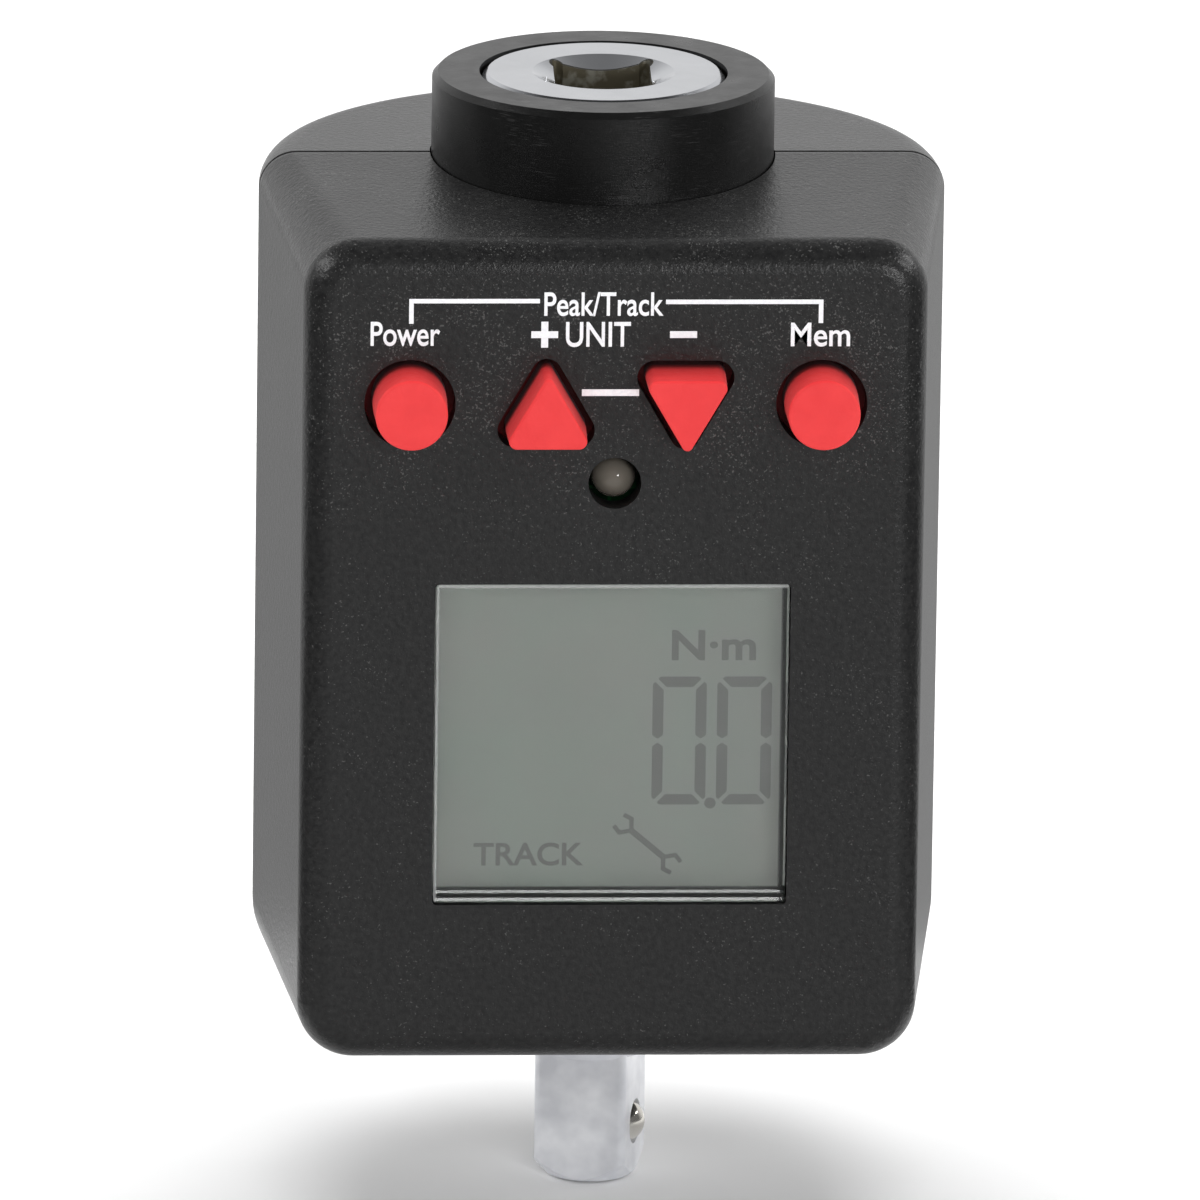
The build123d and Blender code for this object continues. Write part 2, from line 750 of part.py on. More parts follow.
def make_collar():
    """Black ring round the head, held under the top of the case by its flange."""
    bore = head_radius + collar_bore_gap
    with BuildPart() as collar:
        with BuildSketch(Plane.XZ):
            with BuildLine():
                Polyline((bore, 0), (collar_radius - collar_bevel, 0), (collar_radius, -collar_bevel),
                         (collar_radius, seat_level), (collar_flange_radius, seat_level),
                         (collar_flange_radius, flange_bottom), (bore, flange_bottom), close=True)
            make_face()
        revolve(axis=Axis.Z)
    save(collar.part, "collar")


def make_collar_seal():
    """Rubber ring in the groove of the head, against the bore of the collar."""
    outer = head_radius + collar_bore_gap - seal_air
    radius = (outer - seal_groove_radius - seal_air) / 2
    with BuildPart() as collar_seal:
        with Locations((0, 0, -seal_groove_top - seal_groove_height / 2)):
            Torus(outer - radius, radius)
    save(collar_seal.part, "collar_seal")


def make_lower_bush():
    """Flanged bearing that centres the journal in the bottom of the case."""
    bore = journal_radius + bearing_gap
    outer = bore + bush_wall
    groove = bore + 2 * seal_wire
    groove_middle = case_bottom + wall / 2
    half_groove = seal_wire + seal_groove_air
    with BuildPart() as lower_bush:
        with BuildSketch(Plane.XZ):
            with BuildLine():
                Polyline((bore, bush_top), (bush_flange_radius, bush_top),
                         (bush_flange_radius, inner_bottom), (outer, inner_bottom),
                         (outer, case_bottom), (bore, case_bottom),
                         (bore, groove_middle - half_groove), (groove, groove_middle - half_groove),
                         (groove, groove_middle + half_groove), (bore, groove_middle + half_groove),
                         close=True)
            make_face()
        revolve(axis=Axis.Z)
    save(lower_bush.part, "lower_bush")
    with BuildPart() as shaft_seal:
        with Locations((0, 0, groove_middle)):
            Torus(journal_radius + seal_bore_air + seal_wire, seal_wire)
    save(shaft_seal.part, "shaft_seal")


def make_retaining_ring():
    """Open spring ring in the groove above the lower bush, with its two eyes."""
    bore = journal_radius - ring_groove_depth + ring_bore_air
    lug_y = (bore + ring_outer_radius) / 2
    lug_x = ring_gap_width / 2 + ring_lug_radius * ring_lug_spread
    with BuildPart() as retaining_ring:
        with BuildSketch(Plane.XY.offset(ring_top)):
            Circle(ring_outer_radius)
            with Locations((lug_x, -lug_y), (-lug_x, -lug_y)):
                Circle(ring_lug_radius)
            Circle(bore, mode=Mode.SUBTRACT)
            with Locations((0, -lug_y)):
                Rectangle(ring_gap_width, ring_cut, mode=Mode.SUBTRACT)
            with Locations((lug_x, -lug_y), (-lug_x, -lug_y)):
                Circle(ring_eye_radius, mode=Mode.SUBTRACT)
        extrude(amount=-ring_thickness)
    save(retaining_ring.part, "retaining_ring")


def make_locating_pin():
    """Pin that runs from the shoulder of the shaft into the web of the front half."""
    with BuildPart() as locating_pin:
        with BuildSketch(facing(-pin_start)):
            with Locations((0, pin_level)):
                Circle(pin_radius)
        extrude(amount=pin_length)
        chamfer(locating_pin.edges().filter_by(GeomType.CIRCLE), pin_chamfer)
    save(locating_pin.part, "locating_pin")


# ---------------------------------------------------------------- torque sensing

def make_strain_gauges():
    """Two foil gauges bonded to the flats of the shaft, each with its tail."""
    with BuildPart() as strain_gauges:
        for side in (-1, 1):
            with Locations((0, side * (gauge_flat + gauge_patch / 2), gauge_middle)):
                Box(gauge_width, gauge_patch, gauge_length)
            with Locations((0, side * (gauge_flat + gauge_patch / 2), (gauge_middle + flex_level) / 2)):
                Box(gauge_tail_width, gauge_patch, flex_drop)
    save(strain_gauges.part, "strain_gauges")


def make_gauge_flex():
    """Thin flexible circuit: a band round the gauge section and a tail to the board."""
    inner = gauge_radius + flex_air
    start = inner + flex_thickness / 2
    rise = -board_back - connector_height / 2
    with BuildPart() as gauge_flex:
        with BuildSketch(Plane.XY.offset(flex_level - flex_band / 2)):
            Circle(inner + flex_thickness)
            Circle(inner, mode=Mode.SUBTRACT)
        extrude(amount=flex_band)
        with BuildLine(Plane.YZ) as tail:
            FilletPolyline((-start, flex_level), (-rise, flex_level), (-rise, connector_top - flex_plug),
                           radius=flex_bend)
        with BuildSketch(Plane(origin=tail.line @ 0, x_dir=(1, 0, 0), z_dir=tail.line % 0)):
            Rectangle(flex_width, flex_thickness)
        sweep(path=tail.line)
    save(gauge_flex.part, "gauge_flex")


# ---------------------------------------------------------------- electronics


def make_main_board():
    """Circuit board behind the front face, notched round the case posts."""
    with BuildPart() as main_board:
        with BuildSketch(facing(-board_face + board_thickness)) as sketch:
            with Locations((0, (board_top + board_bottom) / 2)):
                Rectangle(2 * board_half_width, board_top - board_bottom)
            fillet(sketch.vertices(), board_corner)
            with Locations(*posts):
                Circle(post_radius + post_clearance, mode=Mode.SUBTRACT)
            with Locations(*board_bosses):
                Circle(board_screw_radius + screw_hole_gap, mode=Mode.SUBTRACT)
            with Locations((-lamp_pin_pitch / 2, lamp_level), (lamp_pin_pitch / 2, lamp_level)):
                Circle(lamp_pin_side * lamp_pin_room, mode=Mode.SUBTRACT)
        extrude(amount=board_thickness)
    save(main_board.part, "main_board")


def make_board_screws():
    """Four small screws through the board into the front half, as separate solids."""
    with BuildPart() as board_screws:
        with BuildSketch(facing(board_back)):
            with Locations(*board_bosses):
                Circle(board_screw_radius)
        extrude(amount=board_thickness + board_screw_reach)
        with BuildSketch(facing(board_back)):
            with Locations(*board_bosses):
                Circle(board_head_radius)
        extrude(amount=-board_head_height)
        with BuildSketch(facing(board_back + board_head_height)):
            with Locations(*board_bosses):
                Rectangle(board_cross_width, board_cross_length)
                Rectangle(board_cross_length, board_cross_width)
        extrude(amount=board_cross_depth, mode=Mode.SUBTRACT)
    save(board_screws.part, "board_screws")


def make_board_parts():
    """Chips and socket, capacitors, timing crystal and buzzer on the back of the board."""
    with BuildPart() as board_chips:
        for x, level, width, height, depth in chips:
            with BuildSketch(facing(board_back)):
                with Locations((x, flex_level + level)):
                    Rectangle(width, height)
            extrude(amount=-depth)
        with BuildSketch(facing(board_back)):
            with Locations((0, connector_top)):
                Rectangle(flex_width + 2 * connector_side, flex_plug, align=(Align.CENTER, Align.MAX))
        extrude(amount=-connector_height)
    save(board_chips.part, "board_chips")
    with BuildPart() as board_capacitors:
        with BuildSketch(facing(board_back)):
            with Locations(*[(can_x, flex_level - drop) for drop in can_drops]):
                Circle(can_radius)
        extrude(amount=-can_height)
        with BuildSketch(facing(board_back)):
            with GridLocations(block_pitch_x, block_pitch_z, 3, 2):
                with Locations((block_x, flex_level - flex_drop)):
                    Rectangle(block_width, block_depth)
        extrude(amount=-block_height)
    save(board_capacitors.part, "board_capacitors")
    with BuildPart() as timing_crystal:
        with BuildSketch(Plane.XY.offset(flex_level - flex_drop)):
            with Locations((crystal_x, board_back + crystal_radius)):
                Circle(crystal_radius)
        extrude(amount=crystal_length)
    save(timing_crystal.part, "timing_crystal")
    with BuildPart() as buzzer:
        with BuildSketch(facing(board_back)):
            with Locations((buzzer_x, flex_level - buzzer_drop)):
                Circle(buzzer_radius)
        extrude(amount=-buzzer_height)
        with BuildSketch(facing(board_back + buzzer_height)):
            with Locations((buzzer_x, flex_level - buzzer_drop)):
                Circle(buzzer_hole_radius)
        extrude(amount=buzzer_hole_depth, mode=Mode.SUBTRACT)
    save(buzzer.part, "buzzer")


def make_indicator_lamp():
    """Round lamp with a domed end, and its two pins through the board."""
    dome_start = lamp_length - lamp_radius
    with BuildPart() as indicator_led:
        with BuildSketch(facing(-board_face)):
            with Locations((0, lamp_level)):
                Circle(lamp_flange_radius)
        extrude(amount=lamp_flange_height)
        with BuildSketch(facing(-board_face)):
            with Locations((0, lamp_level)):
                Circle(lamp_radius)
        extrude(amount=dome_start)
        with Locations((0, -board_face - dome_start, lamp_level)):
            Sphere(lamp_radius)
    save(indicator_led.part, "indicator_led")
    with BuildPart() as led_pins:
        with BuildSketch(facing(-board_face)):
            with Locations((-lamp_pin_pitch / 2, lamp_level), (lamp_pin_pitch / 2, lamp_level)):
                Rectangle(lamp_pin_side, lamp_pin_side)
        extrude(amount=-lamp_pin_length)
    save(led_pins.part, "led_pins")


# ---------------------------------------------------------------- display


def make_display_window():
    """Clear window: a raised field in the opening and a flange behind the front wall."""
    middle = (window_top + window_bottom) / 2
    with BuildPart() as display_window:
        with BuildSketch(facing(window_back)):
            with Locations((0, middle)):
                Rectangle(window_width + 2 * window_flange, window_height + 2 * window_flange)
        extrude(amount=window_flange_thickness)
        with BuildSketch(facing(inner_front)):
            with Locations((0, middle)):
                RectangleRounded(window_width - 2 * window_gap, window_height - 2 * window_gap,
                                 window_corner - window_gap)
        extrude(amount=inner_front - window_front)
        chamfer(display_window.faces().sort_by(Axis.Y)[0].edges(), window_bevel)
    save(display_window.part, "display_window")
    with BuildPart() as window_gasket:
        with BuildSketch(facing(glass_front)):
            with Locations((0, middle)):
                Rectangle(window_width + 2 * window_flange, window_height + 2 * window_flange)
                Rectangle(window_width + 2 * window_flange - 2 * gasket_band,
                          window_height + 2 * window_flange - 2 * gasket_band, mode=Mode.SUBTRACT)
        extrude(amount=gasket_thickness)
    save(window_gasket.part, "window_gasket")


def make_display_panel():
    """Display glass, the reflector behind it and the rubber contact strips below."""
    with BuildPart() as display_panel:
        with BuildSketch(facing(glass_back)):
            with Locations((0, (glass_top + glass_bottom) / 2)):
                Rectangle(2 * glass_half_width, glass_top - glass_bottom)
        extrude(amount=glass_thickness)
    save(display_panel.part, "display_panel")
    side = glass_half_width - frame_side_inset
    strip_top = glass_bottom + strip_inset + strip_thickness
    with BuildPart() as display_reflector:
        with BuildSketch(facing(glass_back + reflector_thickness)):
            with Locations((0, glass_top - frame_side_inset)):
                Rectangle(2 * (side - frame_gap), glass_top - strip_top - 2 * frame_side_inset,
                          align=(Align.CENTER, Align.MAX))
        extrude(amount=reflector_thickness)
    save(display_reflector.part, "display_reflector")
    with BuildPart() as contact_strips:
        with BuildSketch(facing(-board_face)):
            with Locations((0, strip_top)):
                Rectangle(2 * (side - frame_gap), strip_thickness, align=(Align.CENTER, Align.MAX))
        extrude(amount=-glass_back - board_face)
    save(contact_strips.part, "contact_strips")


def make_display_frame():
    """Plastic frame that holds the glass square to the board."""
    top = glass_top + frame_gap + frame_wall
    bottom = glass_bottom - frame_gap - frame_wall
    side = glass_half_width - frame_side_inset
    strip_top = glass_bottom + strip_inset + strip_thickness
    frame_front = glass_front - frame_over_glass
    with BuildPart() as display_frame:
        with BuildSketch(facing(-board_face)):
            with Locations((0, (top + bottom) / 2)):
                Rectangle(2 * (glass_half_width + frame_gap + frame_wall), top - bottom)
        extrude(amount=-frame_front - board_face)
        with BuildSketch(facing(glass_back)):
            with Locations((0, (top + bottom) / 2)):
                Rectangle(2 * (glass_half_width + frame_gap), glass_top - glass_bottom + 2 * frame_gap)
        extrude(amount=case_depth, mode=Mode.SUBTRACT)
        with BuildSketch(facing(-board_face)):
            with Locations((0, glass_top - frame_side_inset + frame_gap)):
                Rectangle(2 * side, glass_top - strip_top - 2 * frame_side_inset + 2 * frame_gap,
                          align=(Align.CENTER, Align.MAX))
            with Locations((0, strip_top + frame_gap)):
                Rectangle(2 * side, strip_thickness + 2 * frame_gap, align=(Align.CENTER, Align.MAX))
        extrude(amount=case_depth, mode=Mode.SUBTRACT)
    save(display_frame.part, "display_frame")


# ---------------------------------------------------------------- keys


def make_key(name, pill_name, x, shape, flange):
    """One key with its flange and stem, and the carbon pill on the stem's end."""
    flange_front = inner_front + key_flange_gap
    flange_back = flange_front + key_flange_thickness
    pill_back = -board_face - pill_air - key_travel
    stem_back = pill_back - pill_thickness
    with BuildPart() as key:
        with BuildSketch(facing(flange_back)):
            with Locations((x, key_row)):
                add(flange)
        extrude(amount=key_flange_thickness)
        with BuildSketch(facing(flange_front)):
            with Locations((x, key_row)):
                add(shape)
        extrude(amount=case_depth + flange_front)
        with BuildSketch(facing(-case_depth)):
            with Locations((x, key_row)):
                add(shape)
        extrude(amount=key_proud, taper=key_taper)
        fillet(key.faces().sort_by(Axis.Y)[0].edges(), key_edge)
        with BuildSketch(facing(stem_back)):
            with Locations((x, key_row)):
                Circle(key_stem_radius)
        extrude(amount=stem_back - flange_back)
    save(key.part, name)
    with BuildPart() as pill:
        with BuildSketch(facing(pill_back)):
            with Locations((x, key_row)):
                Circle(pill_radius)
        extrude(amount=pill_thickness)
    save(pill.part, pill_name)


def make_keys():
    """The four keys: power and memory are round, up and down are arrows."""
    round_shape = disc(round_key_radius)
    round_flange = disc(round_key_radius + key_flange_step)
    make_key("power_button", "power_pill", -round_key_x, round_shape, round_flange)
    make_key("memory_button", "memory_pill", round_key_x, round_shape, round_flange)
    make_key("up_button", "up_pill", -arrow_key_x, arrow(1), arrow(1, key_flange_step))
    make_key("down_button", "down_pill", arrow_key_x, arrow(-1), arrow(-1, key_flange_step))


def make_keypad_mat():
    """Rubber sheet on the board with a hole for each key stem and a notch for the lamp."""
    with BuildPart() as keypad_mat:
        with BuildSketch(facing(-board_face)):
            with Locations((0, key_row + (mat_above - mat_below) / 2)):
                RectangleRounded(2 * (round_key_x + round_key_radius + mat_side), mat_above + mat_below,
                                 mat_corner)
            with Locations(*[(x, key_row) for x in (-round_key_x, -arrow_key_x, arrow_key_x, round_key_x)]):
                Circle(key_stem_radius + mat_hole_gap, mode=Mode.SUBTRACT)
            with Locations((0, lamp_level)):
                Circle(lamp_flange_radius + mat_lamp_gap, mode=Mode.SUBTRACT)
        extrude(amount=mat_thickness)
    save(keypad_mat.part, "keypad_mat")


# ---------------------------------------------------------------- batteries

def tray_space(level):
    """Outline of the tray between its side walls, up to the rails, as a sketch."""
    with BuildSketch(Plane.XY.offset(level)) as sketch:
        with Locations((0, tray_front)):
            Rectangle(2 * (tray_side + tray_wall), case_half_width, align=(Align.CENTER, Align.MIN))
        Circle(rail_outer, mode=Mode.INTERSECT)
    return sketch.sketch


def make_battery_tray():
    """Tray for two cells, with end walls, cradle ribs and the rails that the door slides on."""
    end_top = tray_space(tray_top)
    end_bottom = tray_space(tray_bottom)
    rails = side_sectors(tray_bottom, rail_outer, rail_outer - rail_thickness, tray_side,
                         flange_edge - door_flange_end)
    room = back_form(wall + tray_floor_gap)
    length = tray_top - tray_bottom
    tab_centre = (tab_near + tab_far) / 2
    with BuildPart() as battery_tray:
        with BuildSketch(Plane.XY.offset(tray_bottom)):
            with Locations((0, tray_front)):
                Rectangle(2 * (flange_edge + door_gap), tray_wall, align=(Align.CENTER, Align.MIN))
        extrude(amount=length)
        with BuildSketch(Plane.XY.offset(tray_bottom)):
            with Locations(*[(side * (tray_side + tray_wall / 2), tray_front) for side in (-1, 1)]):
                Rectangle(tray_wall, case_half_width, align=(Align.CENTER, Align.MIN))
            Circle(rail_outer, mode=Mode.INTERSECT)
        extrude(amount=length)
        extrude(rails, amount=length)
        extrude(end_top, amount=-tray_wall)
        extrude(end_bottom, amount=tray_wall)
        for index in range(cradle_count):
            level = tray_bottom + length * (index + 1) / (cradle_count + 1)
            with BuildSketch(Plane.XY.offset(level)):
                with Locations((0, tray_floor)):
                    Rectangle(2 * tray_side, cradle_height, align=(Align.CENTER, Align.MIN))
                with Locations((-cell_x, cell_y), (cell_x, cell_y)):
                    Circle(cell_radius + cell_gap, mode=Mode.SUBTRACT)
            extrude(amount=cradle_thickness)
        with BuildSketch(Plane.XY.offset(tray_top)):
            Circle(shoulder_radius + shoulder_clearance)
        extrude(amount=shoulder_bottom - shoulder_clearance - tray_top, mode=Mode.SUBTRACT)
        with BuildSketch(Plane.XY.offset(tray_bottom)):
            Circle(bush_flange_radius + shoulder_clearance)
        extrude(amount=ring_top - tray_bottom + shoulder_clearance, mode=Mode.SUBTRACT)
        with BuildSketch(Plane.XY.offset(cell_space_top + tab_slot_gap)):
            with Locations((-tab_centre, tray_floor), (tab_centre, tray_floor)):
                Rectangle(tab_width + 2 * tab_slot_gap, 2 * tray_wall, align=(Align.CENTER, Align.MAX))
        extrude(amount=-plate_thickness - 2 * tab_slot_gap, mode=Mode.SUBTRACT)
        add(room, mode=Mode.INTERSECT)
    save(battery_tray.part, "battery_tray")


def make_cell(name, x, base_level, direction):
    """One cell standing on its flat end, with its terminal at the end named by direction."""
    with BuildPart() as cell:
        with BuildSketch(Plane.XY.offset(base_level)):
            with Locations((x, cell_y)):
                Circle(cell_radius)
        extrude(amount=direction * (cell_length - nub_height))
        fillet(cell.edges().filter_by(GeomType.CIRCLE), cell_round)
        with BuildSketch(Plane.XY.offset(base_level + direction * (cell_length - nub_height))):
            with Locations((x, cell_y)):
                Circle(nub_radius)
        extrude(amount=direction * nub_height)
    save(cell.part, name)


def make_cells():
    """Two cells side by side, one each way up."""
    low = cell_space_bottom + plate_thickness
    high = cell_space_top - plate_thickness
    make_cell("left_cell", -cell_x, low + spring_height, 1)
    make_cell("right_cell", cell_x, high - spring_height, -1)


def make_battery_contacts():
    """Contact plates at the ends of the tray, and a coil spring for each cell."""
    plate_centre_y = (plate_y_near + plate_y_far) / 2
    plate_height = plate_y_far - plate_y_near
    plate_centre = (plate_near + plate_far) / 2
    tab_centre = (tab_near + tab_far) / 2
    with BuildPart() as battery_plates:
        with BuildSketch(Plane.XY.offset(cell_space_bottom)):
            with Locations((0, plate_centre_y)):
                Rectangle(2 * plate_far, plate_height)
        extrude(amount=plate_thickness)
        with BuildSketch(Plane.XY.offset(cell_space_top)):
            with Locations((-plate_centre, plate_centre_y), (plate_centre, plate_centre_y)):
                Rectangle(plate_far - plate_near, plate_height)
            with Locations((-tab_centre, tab_front), (tab_centre, tab_front)):
                Rectangle(tab_far - tab_near, plate_centre_y - tab_front, align=(Align.CENTER, Align.MIN))
        extrude(amount=-plate_thickness)
    save(battery_plates.part, "battery_plates")
    rise = spring_height - 2 * spring_wire - 2 * spring_air
    inset = plate_thickness + spring_wire + spring_air
    low_plane = Plane(origin=(-cell_x, cell_y, cell_space_bottom + inset))
    high_plane = Plane(origin=(cell_x, cell_y, cell_space_top - inset), x_dir=(1, 0, 0), z_dir=(0, 0, -1))
    coil = Helix(rise / spring_turns, rise, spring_radius)
    low_path = low_plane.from_local_coords(coil)
    high_path = high_plane.from_local_coords(coil)
    with BuildPart() as battery_springs:
        for path in (low_path, high_path):
            with BuildSketch(Plane(origin=path @ 0, z_dir=path % 0)):
                Circle(spring_wire)
            sweep(path=path, is_frenet=True)
    save(battery_springs.part, "battery_springs")


def make_battery_leads():
    """Two wires from the tabs of the plates past the shaft to the back of the board."""
    start_level = cell_space_top - plate_thickness / 2
    end_level = start_level - lead_drop
    tab_centre = (tab_near + tab_far) / 2
    out = tab_centre + lead_out
    with BuildPart() as battery_leads:
        for side in (-1, 1):
            with BuildLine() as route:
                FilletPolyline((side * tab_centre, tab_front, start_level),
                               (side * tab_centre, lead_back_y, start_level),
                               (side * out, lead_side_y, start_level - lead_side_drop),
                               (side * out, lead_front_y, end_level),
                               (side * out, board_back, end_level),
                               radius=lead_bends)
            with BuildSketch(Plane(origin=route.line @ 0, z_dir=route.line % 0)):
                Circle(lead_radius)
            sweep(path=route.line)
    save(battery_leads.part, "battery_leads")


def make_battery_door():
    """Sliding door on the round back, with flanges that run inside the case wall."""
    outer = back_form(0)
    hollow = back_form(wall)
    flanges = side_sectors(case_bottom, flange_outer, flange_inner, door_half_width - door_flange_root,
                           flange_edge)
    webs = side_sectors(case_bottom, inner_radius + wall / 2, flange_inner,
                        door_half_width - door_flange_root, door_half_width)
    with BuildPart() as runners:
        extrude(flanges, amount=door_top - case_bottom)
        extrude(webs, amount=door_top - case_bottom)
        add(outer, mode=Mode.INTERSECT)
    with BuildPart() as battery_door:
        add(outer)
        add(hollow, mode=Mode.SUBTRACT)
        with BuildSketch(facing(door_front)):
            with Locations((0, door_top)):
                Rectangle(2 * door_half_width, case_height, align=(Align.CENTER, Align.MAX))
        extrude(amount=-case_half_width, mode=Mode.INTERSECT)
        add(runners.part)
        for index in range(grip_count):
            level = door_top - grip_start - index * grip_pitch
            with BuildSketch(Plane.XY.offset(level)):
                with Locations((0, case_half_width)):
                    Rectangle(2 * grip_half_length, case_half_width)
                Circle(case_half_width - grip_depth, mode=Mode.SUBTRACT)
            extrude(amount=-grip_width, mode=Mode.SUBTRACT)
    save(battery_door.part, "battery_door")


make_front_shell()
make_rear_shell()
make_case_screws()
make_torque_shaft()
make_detent()
make_collar()
make_collar_seal()
make_lower_bush()
make_retaining_ring()
make_locating_pin()
make_strain_gauges()
make_gauge_flex()
make_main_board()
make_board_screws()
make_board_parts()
make_indicator_lamp()
make_display_window()
make_display_panel()
make_display_frame()
make_keys()
make_keypad_mat()
make_battery_tray()
make_cells()
make_battery_contacts()
make_battery_leads()
make_battery_door()
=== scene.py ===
"""Looks of a digital torque adapter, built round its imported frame. Metres throughout."""

import logging
import math
from dataclasses import dataclass, field
from enum import Enum

import bmesh
import bpy
from mathutils import Matrix, Vector


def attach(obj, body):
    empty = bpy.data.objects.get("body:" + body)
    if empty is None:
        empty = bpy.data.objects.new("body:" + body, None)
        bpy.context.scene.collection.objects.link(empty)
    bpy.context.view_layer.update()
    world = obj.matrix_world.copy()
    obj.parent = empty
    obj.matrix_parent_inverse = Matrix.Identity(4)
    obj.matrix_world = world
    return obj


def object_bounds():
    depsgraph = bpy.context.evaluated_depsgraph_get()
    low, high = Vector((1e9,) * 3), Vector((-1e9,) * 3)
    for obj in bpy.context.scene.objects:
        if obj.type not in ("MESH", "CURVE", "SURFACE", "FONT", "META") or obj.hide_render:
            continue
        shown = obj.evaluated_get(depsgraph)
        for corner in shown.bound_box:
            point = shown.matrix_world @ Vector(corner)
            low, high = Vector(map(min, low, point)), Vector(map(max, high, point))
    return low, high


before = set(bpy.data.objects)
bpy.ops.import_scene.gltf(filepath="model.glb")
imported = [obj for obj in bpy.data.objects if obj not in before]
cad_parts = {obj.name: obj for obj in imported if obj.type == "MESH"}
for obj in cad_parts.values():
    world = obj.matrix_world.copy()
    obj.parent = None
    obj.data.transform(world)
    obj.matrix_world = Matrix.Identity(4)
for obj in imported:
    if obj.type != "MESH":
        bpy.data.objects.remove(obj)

LOG = logging.getLogger("torque_adapter")
CAD_BOX = [[*corner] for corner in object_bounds()]
MM = 0.001
CASE_BODY = "case"                       # body of the frame that every new piece rides on
RAMP_ENDS = ("From Min", "From Max", "To Min", "To Max")
MIX_COLOURS = (6, 7)                     # colour inputs of a mix node, whose socket names repeat
MIX_RESULT = 2                           # its colour output
FADE = (0.35, 0.65)                      # noise values between which a patch fades in
WEAR = (0.3, 0.7)                        # noise values between which the roughness runs
COARSE_SIZE, COARSE_DEPTH = 2.6, 1.6     # coarse pits of a sparked grain, against the fine ones
LINE_SIZE = 6.0                          # size of turned or drawn lines, against the fine grain
WEAR_SIZE = 0.4                          # size of the patches of roughness, against those of tone
LETTER_BLANK = 0.05                      # thickness of a word before it is fitted to its plate
LETTER_STEPS = 6                         # steps in the curves of a letter
MITRE_LIMIT = 0.3                        # least cosine that a mitred corner is worked out with

Triple = tuple[float, float, float]
Colour = Triple
Point2 = tuple[float, float]
Span = tuple[float, float]
Loop = list[Point2]
Socket = bpy.types.NodeSocket


class Grain(Enum):
    """Ways in which a finish breaks up its surface."""

    SPARKED = "sparked"
    TURNED = "turned"
    DRAWN = "drawn"
    SOFT = "soft"


# stretch of the lines along each axis, and share of the fine grain left between them
GRAIN_LINES = {Grain.TURNED: ((1.0, 1.0, 30.0), 0.5), Grain.DRAWN: ((20.0, 20.0, 1.0), 0.4)}


# ---------------------------------------------------------------- finishes


